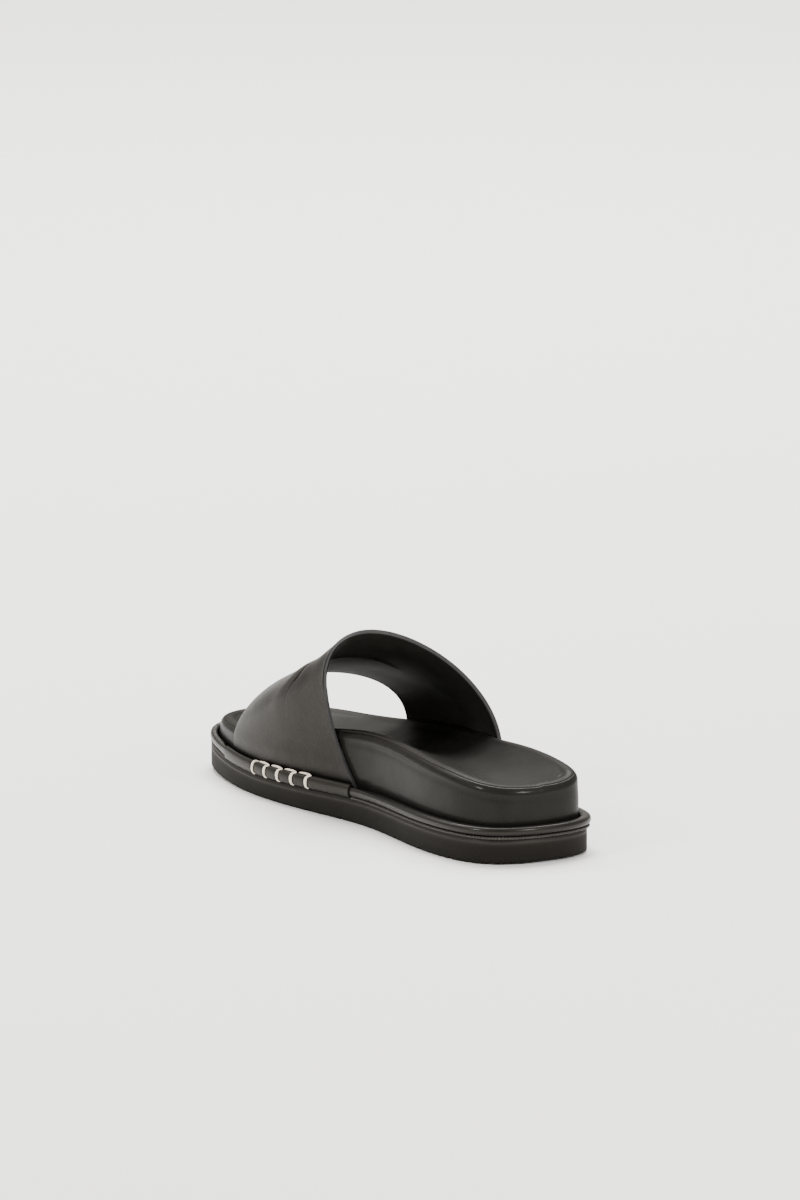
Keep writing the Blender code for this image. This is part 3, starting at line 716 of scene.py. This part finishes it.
def rand_grid():
    """The bead: its inner side moves out along the band's feet, and two waves make the folds."""
    share = np.linspace(*round_the_back, 1500)
    x = outline(share)[:, 0]
    inner = -FOOTBED_INSET + GROOVE
    left = inner + (BESIDE_BAND - inner) * beside_the_band(share)
    low = sole_top(x) + CLEAR + WELT_THICKNESS + 0.1 * CLEAR
    out, up = section(left, proud_of_rubber(share), low, low + RAND_HEIGHT + 0.9 * CLEAR, 2.4, 30)
    way = share * WALKED[-1]
    turn = 2 * math.pi * way / FOLD_PITCH
    folds = np.sin(turn) + 0.7 * np.sin(turn / 1.7 + 1)
    near_toe = ease(x / LENGTH, 0.78, 0.9)
    top = ease(up, (low + 0.5 * RAND_HEIGHT)[:, None], (low + RAND_HEIGHT)[:, None])
    return carried(share, out, up + FOLD_DEPTH * (near_toe * folds)[:, None] * top)


grid = domed(rand_grid(), 0.0)
add_piece("rand_bead", [sheet(grid)], [rand_rubber], "rand")

# %% [markdown]
# The sleeve is a strip of the band's leather, rolled over the rand's core and whipped with thread.
# Each turn of thread sinks into it, so the tube narrows there, which is a row of small bells
# subtracted from its size.

# %% Leather sleeve
STITCHES = np.linspace(0.545, 0.705, 5)     # shares of the length
STITCH_SINK = 0.00035       # how deep the thread sinks in
STITCH_PULL = 0.0021        # how far along the tube that shows


def sleeve_grid():
    """The tube between its joints with the rand, less a bell all round for each turn of thread."""
    gap = CLEAR / LENGTH
    share = np.linspace(way_round(SLEEVE_FRONT - gap), way_round(SLEEVE_BACK + gap), 520)
    way, stitches = share[:, None] * WALKED[-1], way_round(STITCHES) * WALKED[-1]
    sunk = STITCH_SINK * hill(way, stitches, STITCH_PULL).sum(axis=1)
    low = sole_top(outline(share)[:, 0]) + CLEAR
    out, up = section(BESIDE_BAND + sunk, proud_of_rubber(share) + SLEEVE_PROUD - sunk,
                      low, low + SLEEVE_HEIGHT - sunk, SLEEVE_SQUARENESS, 40)
    return carried(share, out, up)


grid = domed(sleeve_grid(), 0.0003)
add_piece("sleeve_tube", [sheet(grid)], [sleeve_leather], "rand_sleeve")

# %% [markdown]
# ## Whip stitches
#
# Waxed thread whips the sleeve to the rand's core. Between two turns it runs over the back of the
# tube's top, passes the next turn's place by a little, hooks back and goes down round the front.
# Each turn here is a thread of its own, whose two ends go into the leather. A table holds its path
# in the tube's own measures: the way along from the turn and the height over the leather in
# millimetres, the angle round the section in degrees, and the width as a share, because thread is
# pulled thin where it bends and where it enters the holes.

# %% Thread
THREAD_WIDE = 0.00088        # half widths of the thread, pressed flat on the tube
THREAD_HIGH = 0.00050
PLY_TURN = 0.0034            # length of one full turn of the plies
TURN = table(
    "way angle lift wide",
    (-9.6, 142, -0.5, 0.3), (-8.8, 124, 0.4, 0.5), (-6.8, 110, 0.7, 0.9), (-4.2, 102, 0.85, 1.05),
    (-1.6, 97, 0.85, 0.95), (0.8, 91, 0.75, 0.65), (2.2, 85, 0.6, 0.4), (2.4, 78, 0.4, 0.35),
    (1.4, 70, 0.35, 0.6), (0.5, 55, 0.4, 0.9), (0.0, 25, 0.4, 1.1), (0.0, -10, 0.4, 1.05),
    (0.3, -35, 0.35, 0.85), (0.8, -55, 0.15, 0.6), (1.2, -72, -0.4, 0.4))
FIRST_TURN = table(
    "way angle lift wide",
    (3.2, 160, -0.6, 0.4), (2.6, 132, 0.2, 0.6), (1.7, 105, 0.45, 0.8), (0.8, 80, 0.45, 0.95),
    (0.3, 55, 0.4, 1.0), (0.0, 25, 0.4, 1.0), (0.0, -10, 0.4, 1.0), (0.3, -35, 0.35, 0.85),
    (0.8, -55, 0.15, 0.6), (1.2, -72, -0.4, 0.4))


def through(points, steps):
    """A path through points: cubics whose tangent at a point is parallel to its neighbours' line."""
    slopes = np.gradient(points, axis=0)
    u = np.linspace(0, len(points) - 1, steps)
    k = np.minimum(u.astype(int), len(points) - 2)
    t = (u - k)[:, None]
    return cubic(t, points[k], points[k + 1], slopes[k], slopes[k + 1])


def thread_path(turn, place):
    """A turn's path in the shoe's frame, the leather's normal along it and the thread's width."""
    rows = through(np.column_stack([turn["way"], turn["angle"], turn["lift"], turn["wide"]]), 120)
    share = place + rows[:, 0] / 1000 / WALKED[-1]
    angle, lift = np.radians(rows[:, 1]), rows[:, 2] / 1000
    left = BESIDE_BAND + STITCH_SINK
    right = proud_of_rubber(share) + SLEEVE_PROUD - STITCH_SINK
    low = sole_top(outline(share)[:, 0]) + CLEAR
    middle, half, rise = (left + right) / 2, (right - left) / 2, (SLEEVE_HEIGHT - STITCH_SINK) / 2
    power = 2 / SLEEVE_SQUARENESS
    out = middle + half * bent(np.cos(angle), power) + lift * np.cos(angle)
    up = low + rise + rise * bent(np.sin(angle), power) + lift * np.sin(angle)
    normal = np.column_stack([(outline(share, 1.0) - outline(share)) * np.cos(angle)[:, None],
                              np.sin(angle)])
    return np.column_stack([outline(share, out), up]), normal, rows[:, 3]


def thread_grid(path, normal, width):
    """An oval profile along a path, flat on the leather, with three lobes that turn on the way."""
    ahead = np.gradient(path, axis=0)
    ahead /= np.linalg.norm(ahead, axis=1)[:, None]
    beside = np.cross(ahead, normal)
    beside /= np.linalg.norm(beside, axis=1)[:, None]
    above = np.cross(beside, ahead)
    walked = np.concatenate([[0], np.cumsum(np.linalg.norm(np.diff(path, axis=0), axis=1))])
    turn = np.linspace(0, 2 * math.pi, 19)
    plies = 1 + 0.09 * np.cos(3 * (turn[None] - 2 * math.pi * walked[:, None] / PLY_TURN))
    wide = THREAD_WIDE * width[:, None] * plies * np.cos(turn)
    high = THREAD_HIGH * np.sqrt(width)[:, None] * plies * np.sin(turn)
    oval = wide[..., None] * beside[:, None] + high[..., None] * above[:, None]
    return domed(path[:, None] + oval, 0.0)


places = way_round(STITCHES)[::-1]
threads = [thread_grid(*thread_path(FIRST_TURN if k == 0 else TURN, place))
           for k, place in enumerate(places)]
add_piece("whip_stitches", [sheet(points) for points in threads], [thread], sharp=80.0)

# %% [markdown]
# ## The footbed and its sock
#
# The footbed is a moulded core wrapped in leather. Its wall rises from the sole and rolls over at
# the top. The sock, the leather that the foot stands on, is glued over the bed and ends near the
# top of that roll, so a fine dark line runs round the edge. Both are grids of rings: round the
# outline one way, and along the section the other.

# %% Rings of the footbed
RIM_RADIUS = 0.0046         # softer than the solid's roll, as leather over foam is
RIM_ROLL = 120.0            # degrees that the edge turns, from the wall over into the bed
SOCK_WALL = 0.0012
SOCK_EDGE = 62.0            # degrees up the roll at which the sock ends
SEAM = 9.0                  # degrees of open groove below the sock's edge
RING_COLUMNS = 480
RING = np.linspace(0, 1, RING_COLUMNS + 1)


def rim_ring(radius, degrees, share=RING):
    """A ring on the rolled edge: radius from the roll's axis, turned from outwards over to inwards."""
    turn = math.radians(degrees)
    flat = outline(share, -FOOTBED_INSET - RIM_RADIUS + radius * math.cos(turn))
    wall = outline(share, -FOOTBED_INSET)
    height = rim_height(share, wall[:, 0]) - RIM_RADIUS + radius * math.sin(turn)
    return np.column_stack([flat, height])


def banks(points):
    """Height of the bed: from every point of the rim a parabola falls inwards, the highest counts."""
    steep = math.tan(math.radians(RIM_ROLL - 90))
    edge = rim_ring(RIM_RADIUS, RIM_ROLL, np.linspace(0, 1, 2400))
    depth = edge[:, 2] - bed_height(edge[:, 0])
    best = np.zeros(len(points))
    for part in np.array_split(np.arange(len(points)), 24):
        away = np.linalg.norm(points[part, None] - edge[None, :, :2], axis=2)
        left = np.clip(1 - away * steep / (2 * depth[None]), 0, 1)
        best[part] = (depth[None] * left ** 2).max(axis=1)
    return bed_height(points[:, 0]) + best


def relaxed(height, times):
    """Smooth a height grid: inner points move to the mean of their neighbours, the edges stay."""
    height = height.copy()
    for _ in range(times):
        mean = (height[:-2, 1:-1] + height[2:, 1:-1] + height[1:-1, :-2] + height[1:-1, 2:]) / 4
        height[2:-2, 3:-3] = mean[1:-1, 2:-2]
    return height


def bed_rows(steps=26):
    """Rows of the bed from the rim in to the middle line, as half of rows that cross the footbed."""
    ring = rim_ring(RIM_RADIUS, RIM_ROLL)
    half = RING_COLUMNS // 2
    outer, inner = ring[:half + 1, :2], ring[half:, :2][::-1]
    part = np.linspace(0, 1, 2 * steps + 1)
    flat = outer[:, None] + (inner - outer)[:, None] * part[None, :, None]
    height = banks(flat.reshape(-1, 2)).reshape(flat.shape[:2])
    height = relaxed(height, 160)
    height[:, 0] = ring[:half + 1, 2]
    height[:, -1] = ring[half:, 2][::-1]
    full = np.dstack([flat, height])
    outer_half = full[:, :steps + 1]
    inner_half = full[::-1, :steps - 1:-1]
    return np.concatenate([outer_half, inner_half[1:]]).transpose(1, 0, 2)


bed = bed_rows()
print("bed: lowest %.1f mm, highest %.1f mm" % (1000 * bed[..., 2].min(), 1000 * bed[..., 2].max()))

# %% [markdown]
# The wall bulges by a fraction of a millimetre between its foot and its edge, because the leather
# is drawn tight over foam. The underside is closed, though it never shows.

# %% Footbed wall
WALL_BULGE = 0.0005
WALL_PINCH = 0.0004         # the wall draws in a little under the roll, most at the arch
PINCH_DEPTH = 0.0062        # how far below the edge


def footbed_grid():
    """Rows: the underside, the wall, the roll up to the seam, a dip into the groove, and a lid."""
    foot = outline(RING, -FOOTBED_INSET - 0.0004)
    foot = np.column_stack([foot, sole_top(foot[:, 0]) + CLEAR])
    rows = list(across(foot, (0.5, 0.25, 0.05)))
    rows.append(foot)
    wall = outline(RING, -FOOTBED_INSET)
    low = sole_top(wall[:, 0]) + CLEAR
    high = rim_height(RING, wall[:, 0]) - RIM_RADIUS
    arch = hill(wall[:, 0] / LENGTH, 0.30, 0.22) * ((RING > 0.5) & (RING < 1))
    for part in np.linspace(0.03, 0.98, 34):
        height = low + (high - low) * part
        bulge = WALL_BULGE * math.sin(math.pi * part) ** 1.5
        pinch = WALL_PINCH * arch * hill(high + RIM_RADIUS - height, PINCH_DEPTH, 0.0020)
        rows.append(np.column_stack([outline(RING, -FOOTBED_INSET + bulge - pinch), height]))
    for turn in np.linspace(0, SOCK_EDGE - SEAM, 9):
        rows.append(rim_ring(RIM_RADIUS, turn))
    marks = [0.0] * len(rows)
    core = RIM_RADIUS - SOCK_WALL - CLEAR
    for turn, radius in ((SOCK_EDGE - 0.7 * SEAM, RIM_RADIUS - 0.0003),
                         (SOCK_EDGE - 0.45 * SEAM, RIM_RADIUS - 0.0009),
                         (SOCK_EDGE, core), (90, core), (RIM_ROLL, core)):
        rows.append(rim_ring(radius, turn))
        marks.append(1.0)
    lid = bed[2::6] - (0, 0, 2 * SOCK_WALL)
    return np.concatenate([np.array(rows), lid]), np.array(marks + [1.0] * len(lid))[:, None]


grid, mark = footbed_grid()
add_piece("footbed_wall", [sheet(grid, mark=mark)], [footbed_leather], "footbed")

# %% [markdown]
# The sock is cut a little larger than the bed and turned down over the roll. Its cut edge is pale
# where the dye is thin, so it shows as a fine light line above the dark seam.

# %% Leather sock
def sock_grid():
    """Rows: the bed from its middle line out, the roll down to the cut edge, and back underneath."""
    turns = np.linspace(RIM_ROLL, SOCK_EDGE, 16)[1:]
    top = list(bed[::-1]) + [rim_ring(RIM_RADIUS, turn) for turn in turns]
    middle = RIM_RADIUS - SOCK_WALL / 2
    lip = [rim_ring(middle + SOCK_WALL / 2 * math.cos(angle), SOCK_EDGE - 5.0 * math.sin(angle))
           for angle in np.linspace(0, math.pi, 9)[1:-1]]
    under = [rim_ring(RIM_RADIUS - SOCK_WALL, turn) for turn in turns[::-3]]
    below = bed[2::6] - (0, 0, 1.2 * SOCK_WALL)
    marks = [0.0] * (len(top) - 2) + [0.3, 0.8] + [1.0] * len(lip) + [0.0] * (len(under) + len(below))
    return np.concatenate([np.array(top + lip + under), below]), np.array(marks)[:, None]


grid, mark = sock_grid()
add_piece("sock_lining", [sheet(grid, mark=mark)], [sock_leather], "insole")

# %% [markdown]
# ## The band
#
# The band is one piece of thick calf. Both feet go down between the footbed and the rand to the
# sole. Each section rises along the footbed's wall and turns over to the crown in a quarter of
# a superellipse; a table gives the sections from the back edge to the front edge. The wall's
# middle surface comes first, and then two faces and two rounded edges are set off from it.

# %% Middle surface of the band
BAND_FLARE = 0.0058         # how far the inner side leans out above the footbed at the back edge
FLARE_HEIGHT = 0.71         # height of that, as a share of the instep height
BAND = table(
    "place outer_foot outer_edge inner_foot inner_edge crown_across crown_up outer_round inner_round",
    (0.00, 0.366, 0.407, 0.424, 0.495, 0.205, 1.000, 1.63, 2.50),
    (0.25, 0.472, 0.500, 0.522, 0.575, 0.175, 0.855, 1.75, 2.30),
    (0.50, 0.578, 0.592, 0.620, 0.655, 0.145, 0.750, 1.90, 2.05),
    (1.00, 0.790, 0.775, 0.807, 0.805, 0.080, 0.595, 2.20, 1.62))
EDGE_DROP = 0.0032          # the arch springs from this far below the footbed's rim
ARCH_COLUMNS = 221


def side_point(along, inner_side, out):
    """The point beside the outline at shares of the length on one side."""
    way = np.linspace(0.5, 1.0, 900)[::-1] if inner_side else np.linspace(0, 0.5, 900)
    line = outline(way, out)
    return np.interp(np.asarray(along) * LENGTH, line[:, 0], line[:, 1])


def evenly(curves, steps):
    """Cut each curve of a stack into steps of equal length, all in one interpolation."""
    rows = len(curves)
    walked = np.linalg.norm(np.diff(curves, axis=1), axis=2).cumsum(axis=1)
    walked = np.hstack([np.zeros((rows, 1)), walked])
    walked /= walked[:, -1:]
    offset = 2.0 * np.arange(rows)[:, None]
    wanted = (offset + np.linspace(0, 1, steps + 1)).ravel()
    known = (offset + walked).ravel()
    flat = curves.reshape(-1, 3)
    found = [np.interp(wanted, known, flat[:, k]) for k in range(3)]
    return np.stack(found, axis=-1).reshape(rows, -1, 3)


def band_middle(place):
    """The middle surface: rows are places from the back edge to the front, columns go over the foot."""
    row = {name: smooth(BAND["place"], values, place) for name, values in BAND.items()}
    beside = -FOOTBED_INSET + BAND_CLEAR + BAND_WALL / 2
    crown_y = row["crown_across"] * BALL_WIDTH
    crown_z = row["crown_up"] * INSTEP_HEIGHT - BAND_WALL / 2
    turn = np.linspace(0, math.pi / 2, 60)
    halves = []
    for side, inner_side in (("outer", False), ("inner", True)):
        foot_x, edge_x = row[side + "_foot"] * LENGTH, row[side + "_edge"] * LENGTH
        foot_y = side_point(row[side + "_foot"], inner_side, beside)
        edge_y = side_point(row[side + "_edge"], inner_side, beside)
        foot_z = sole_top(foot_x) + CLEAR
        rim = smooth(FOOTBED["along"], FOOTBED[side + "_rim"], row[side + "_edge"])
        edge_z = ARCH_RIM * rim - EDGE_DROP
        lean = (1 - place) ** 1.5 * inner_side
        spring_y = edge_y + BAND_FLARE * lean
        spring_z = edge_z + (FLARE_HEIGHT * INSTEP_HEIGHT - edge_z) * lean
        wall = np.stack([np.stack([foot_x, foot_y, foot_z], axis=-1),
                         np.stack([edge_x, edge_y, edge_z], axis=-1),
                         np.stack([edge_x, spring_y, spring_z], axis=-1)], axis=1)
        power = 2 / row[side + "_round"][:, None]
        y = crown_y[:, None] + (spring_y - crown_y)[:, None] * np.cos(turn) ** power
        z = spring_z[:, None] + (crown_z - spring_z)[:, None] * np.sin(turn) ** power
        arch = np.dstack([np.broadcast_to(edge_x[:, None], y.shape), y, z])
        halves.append((evenly(wall, 60), arch[:, 1:]))
    (outer_wall, outer_arch), (inner_wall, inner_arch) = halves
    over = np.concatenate([outer_arch, inner_arch[:, ::-1][:, 1:]], axis=1)
    outer_end, inner_end = outer_wall[:, -1:], inner_wall[:, -1:]
    reach = np.clip((over[..., 1] - outer_end[..., 1]) / (inner_end[..., 1] - outer_end[..., 1]), 0, 1)
    over[..., 0] = outer_end[..., 0] + (inner_end[..., 0] - outer_end[..., 0]) * reach
    whole = np.concatenate([outer_wall, over, inner_wall[:, ::-1]], axis=1)
    return evenly(whole, ARCH_COLUMNS - 1)


def evened(surface, times):
    """Ease the kinks between a section's parts: each point moves to the mean of its two neighbours."""
    surface = surface.copy()
    for _ in range(times):
        surface[:, 1:-1] = (surface[:, :-2] + 2 * surface[:, 1:-1] + surface[:, 2:]) / 4
    return surface


middle = evened(band_middle(np.linspace(0, 1, 201)), 60)
print("band's middle surface: %d by %d points, crown at %.1f mm"
      % (*middle.shape[:2], 1000 * middle[..., 2].max()))

# %% [markdown]
# Where the foot bends, the band has taken a crease. It runs from the inner shoulder over the crown,
# sharp on its toe side and falling gently on its heel side, and inside it stands up as a ridge. The
# crease is only a fraction of a millimetre wide, so the band's rows are packed close along it: a
# table gives the line, and the rows are shifted so that they follow it. Just above the rand the
# leather also bellies out a little before it tucks in behind it, which leaves a shadow there; that
# shadow is also painted into the outer face's tone below, as painted shade.

# %% Rows that follow the crease
BAND_ROWS = 160
FOOT_BULGE = 0.0003         # how far the leather bellies out above the rand
CREASE = table(
    "over place strength",
    (0.00, 0.340, 0.00), (0.20, 0.440, 0.00), (0.34, 0.530, 0.10), (0.40, 0.455, 0.65),
    (0.45, 0.395, 0.75), (0.50, 0.355, 0.75), (0.60, 0.330, 0.75), (0.67, 0.301, 1.00),
    (0.70, 0.299, 1.00), (0.72, 0.318, 0.30), (0.76, 0.357, 0.05), (0.85, 0.375, 0.00),
    (1.00, 0.380, 0.00))
ACROSS = np.linspace(0, 1, ARCH_COLUMNS)
crease_line = smooth(CREASE["over"], CREASE["place"], ACROSS)
crease_strength = smooth(CREASE["over"], CREASE["strength"], ACROSS)


def packed_rows():
    """A place for each row and column: dense rows round the crease, moved with it, and at the edges."""
    packed = np.interp(np.linspace(0, 1, BAND_ROWS), (0, 0.06, 0.20, 0.28, 0.60, 0.70, 0.95, 1),
                       (0, 0.035, 0.24, 0.30, 0.38, 0.45, 0.975, 1))[:, None]
    follow = ease(packed, 0, 0.34) * (1 - ease(packed, 0.34, 1))
    return packed + (crease_line - 0.34) * follow


def at_places(surface, place):
    """The surface at a place for each row and column: the mix of the two grid rows on either side."""
    row = place * (len(surface) - 1)
    k = np.minimum(row.astype(int), len(surface) - 2)
    t = (row - k)[..., None]
    column = np.arange(surface.shape[1])
    return surface[k, column] * (1 - t) + surface[k + 1, column] * t


def normals_of(surface):
    """Unit normals of a grid: the cross product of its two directions, pointing out of the band."""
    normal = np.cross(np.gradient(surface, axis=0), np.gradient(surface, axis=1))
    return normal / np.linalg.norm(normal, axis=2)[..., None]


place = packed_rows()
band_normal = at_places(normals_of(middle), place)
middle = at_places(middle, place)
over_rand = middle[..., 2] - sole_top(middle[..., 0]) - SLEEVE_HEIGHT
middle = middle + (FOOT_BULGE * hill(over_rand, 0.0075, 0.0042))[..., None] * band_normal
print("closest rows: %.2f mm" % (1000 * np.linalg.norm(np.diff(middle, axis=0), axis=2).min()))

# %% [markdown]
# The crease is a depth along the normal, worked out from the way to its line: an exponential fall
# on each side, quick towards the toe. On the outside the toe's side also swells a little, where
# the leather is pushed up. The lining has its own shape of the same fold, and a stitched groove
# runs along its back edge.

# %% Crease
CREASE_DEPTH = 0.0010       # of the sharp groove outside
CREASE_SAG = 0.0003         # of the soft fall beside it
CREASE_SWELL = 0.0005       # height of the swelling on the toe's side
CREASE_DENT = 0.0004        # of the shallow dent on the heel's side, at the shoulder
RIDGE_HEIGHT = 0.0008       # inside
LINING_GROOVE = 0.0021      # from the back edge to the groove in the lining

way = np.linalg.norm(np.diff(middle, axis=0), axis=2)
way = np.vstack([np.zeros(ARCH_COLUMNS), way.cumsum(axis=0)])
line_way = np.array([np.interp(line, place[:, k], way[:, k]) for k, line in enumerate(crease_line)])
off = way - line_way
sag = np.where(off < 0, np.exp(off / 0.0030), np.exp(-off / 0.0012))
groove = CREASE_DEPTH * np.exp(-np.abs(off) / 0.00050) + CREASE_SAG * sag
swell = CREASE_SWELL * hill(off, 0.0080, 0.0055) * hill(ACROSS, 0.68, 0.09)
dent = CREASE_DENT * hill(off, -0.0110, 0.0065) * hill(ACROSS, 0.67, 0.07)
outside_depth = crease_strength * groove - swell + dent
ridge = np.where(off < 0, np.exp(off / 0.0020), np.exp(-off / 0.0007))
pitch = 0.5 + 0.5 * np.cos(2 * math.pi * np.linspace(0, 60, ARCH_COLUMNS))
inside_depth = (RIDGE_HEIGHT * crease_strength * ridge
                - 0.00022 * (0.6 + 0.4 * pitch) * hill(way, LINING_GROOVE, 0.0004))
# Painted shade: the outer face's mark darkens and dulls the leather in the crease's groove and over the
# lowest few millimetres above the rand.
painted_shade_above_rand = 0.6 * (1 - ease(over_rand, 0.0005, 0.0045))
crease_shade_weight = ease(crease_strength, 0.4, 0.9) * (0.3 + 0.7 * hill(ACROSS, 0.69, 0.04))
painted_shade = np.maximum(crease_shade_weight * hill(off, 0.0001, 0.0006), painted_shade_above_rand)
print("crease: %.2f mm deep outside" % (1000 * outside_depth.max()))

# %% [markdown]
# The outer face and the lining lie half a wall to each side of the middle surface. At the cut edges
# the wall turns round in a flattened half circle, as a knife-cut and burnished edge does. The back
# edge gets a finish of its own; the front edge keeps the band's leather, darkened and dulled by its
# mark as painted shade. The two feet are closed with flat caps, though they stand out of sight.

# %% Band
EDGE_ROUND = 0.0004         # how far the cut edge bulges
EDGE_TURN = np.linspace(0, math.pi, 11)


def cut_edge_grid(outer, inner, ahead):
    """Half a superellipse from the outer face to the lining, bulging ahead by EDGE_ROUND."""
    turn = EDGE_TURN[:, None, None]
    side = (outer - inner) / 2 * bent(np.cos(turn), 0.4)
    return (outer + inner) / 2 + side + ahead * EDGE_ROUND * np.sin(turn) ** 0.8


def foot_cap(outer, inner):
    """Straight rows from one line of points to another."""
    part = np.linspace(0, 1, len(EDGE_TURN))[:, None, None]
    return outer + (inner - outer) * part


outside = middle + band_normal * (BAND_WALL / 2 - outside_depth)[..., None]
inside = middle - band_normal * (BAND_WALL / 2 + inside_depth)[..., None]
ahead = np.diff(middle[[0, 6, -7, -1]], axis=0)[[0, 2]]
ahead /= np.linalg.norm(ahead, axis=2)[..., None]
front = cut_edge_grid(outside[-1], inside[-1], ahead[1])
back = cut_edge_grid(outside[0], inside[0], -ahead[0])
edge_mark = np.array([0.8, 0.3, 0, 0, 0, 0, 0, 0, 0.3, 0.9, 1.0])[:, None]
caps = [foot_cap(outside[:, end], inside[:, end]) for end in (0, -1)]
corners = [foot_cap(rim[:, end], np.linspace(rim[0, end], rim[-1, end], len(rim)))
           for rim in (front, back) for end in (0, -1)]
# Painted shade: the outer face carries painted_shade as its mark, and the front edge a mark of 0.7, which
# darkens and dulls that edge.
faces = [sheet(outside, 0, painted_shade), sheet(inside, 1), sheet(front, 0, 0.7), sheet(back, 2, edge_mark)]
add_piece("leather_band", faces + [sheet(cap, 2) for cap in caps + corners],
          [band_leather, lining_leather, cut_edge], "upper", 50.0)

# %% [markdown]
# ## Floor and light
#
# The shoe stands on a pale sheet that runs back without an edge. Black leather shows little but
# what it mirrors, so the lights are placed by their reflections: a large one above for the tops of
# the band and the bed, two softboxes, left and right of the camera, that draw the short streaks
# on the rand and on the footbed's rounded edge, and a broad weak one beyond the toe that lifts the
# top of the band. The world adds an even, slightly warm fill.

# %% Floor and lights
def add_floor():
    """A sheet that is flat under the shoe and curves up far behind it."""
    way = np.linspace(-6, 30, 60)
    flat, rise = np.minimum(way, 20), np.clip(way - 20, 0, None) ** 2 / 20
    turn = math.radians(CAMERA_AZIMUTH)
    away = np.array([-math.sin(turn), math.cos(turn)])
    beside = np.array([away[1], -away[0]])
    side = np.linspace(-12, 12, 9)
    ground = flat[:, None, None] * away + side[None, :, None] * beside
    points = np.dstack([ground, np.broadcast_to(rise[:, None], ground.shape[:2])])
    mesh = bpy.data.meshes.new("floor")
    mesh.from_pydata(points.reshape(-1, 3).tolist(), [], quads(points).tolist())
    mesh.shade_smooth()
    floor = bpy.data.objects.new("floor", mesh)
    bpy.context.scene.collection.objects.link(floor)
    mesh.materials.append(new_material("white paper, matt", Base_Color=linear("#f4f3f1"), Roughness=0.9,
                                       Specular_IOR_Level=0.1)[0])


def add_light(name, watts, size, place, aim):
    """A square area light at a place, turned to an aim."""
    data = bpy.data.lights.new(name, "AREA")
    data.energy = watts
    data.size = size
    light = bpy.data.objects.new(name, data)
    light.location = place
    light.rotation_mode = "QUATERNION"
    light.rotation_quaternion = (Vector(aim) - Vector(place)).to_track_quat("-Z", "Y")
    bpy.context.scene.collection.objects.link(light)


def softbox_place(azimuth, elevation, distance):
    """A place on a sphere round the shoe: azimuth from +X towards +Y, and elevation, in degrees."""
    turn, rise = math.radians(azimuth), math.radians(elevation)
    return (distance * math.cos(turn) * math.cos(rise), distance * math.sin(turn) * math.cos(rise),
            distance * math.sin(rise))


add_floor()
add_light("overhead_light", 470.0, 3.0, (1.75, -0.97, 3.5), (1.75, -0.97, 0))
add_light("left_softbox", 12.0, 0.27, softbox_place(98, 31, 1.7), (0, 0, 0.03))
add_light("right_softbox", 14.0, 0.30, softbox_place(192, 31, 1.7), (0, 0, 0.03))
add_light("toe_softbox", 7.0, 0.7, softbox_place(42, 46, 1.8), (0, 0, 0.05))
world = bpy.data.worlds.new("warm studio")
world.use_nodes = True
fill = world.node_tree.nodes["Background"].inputs
fill["Color"].default_value, fill["Strength"].default_value = linear("#fffaf2"), 0.8
bpy.context.scene.world = world
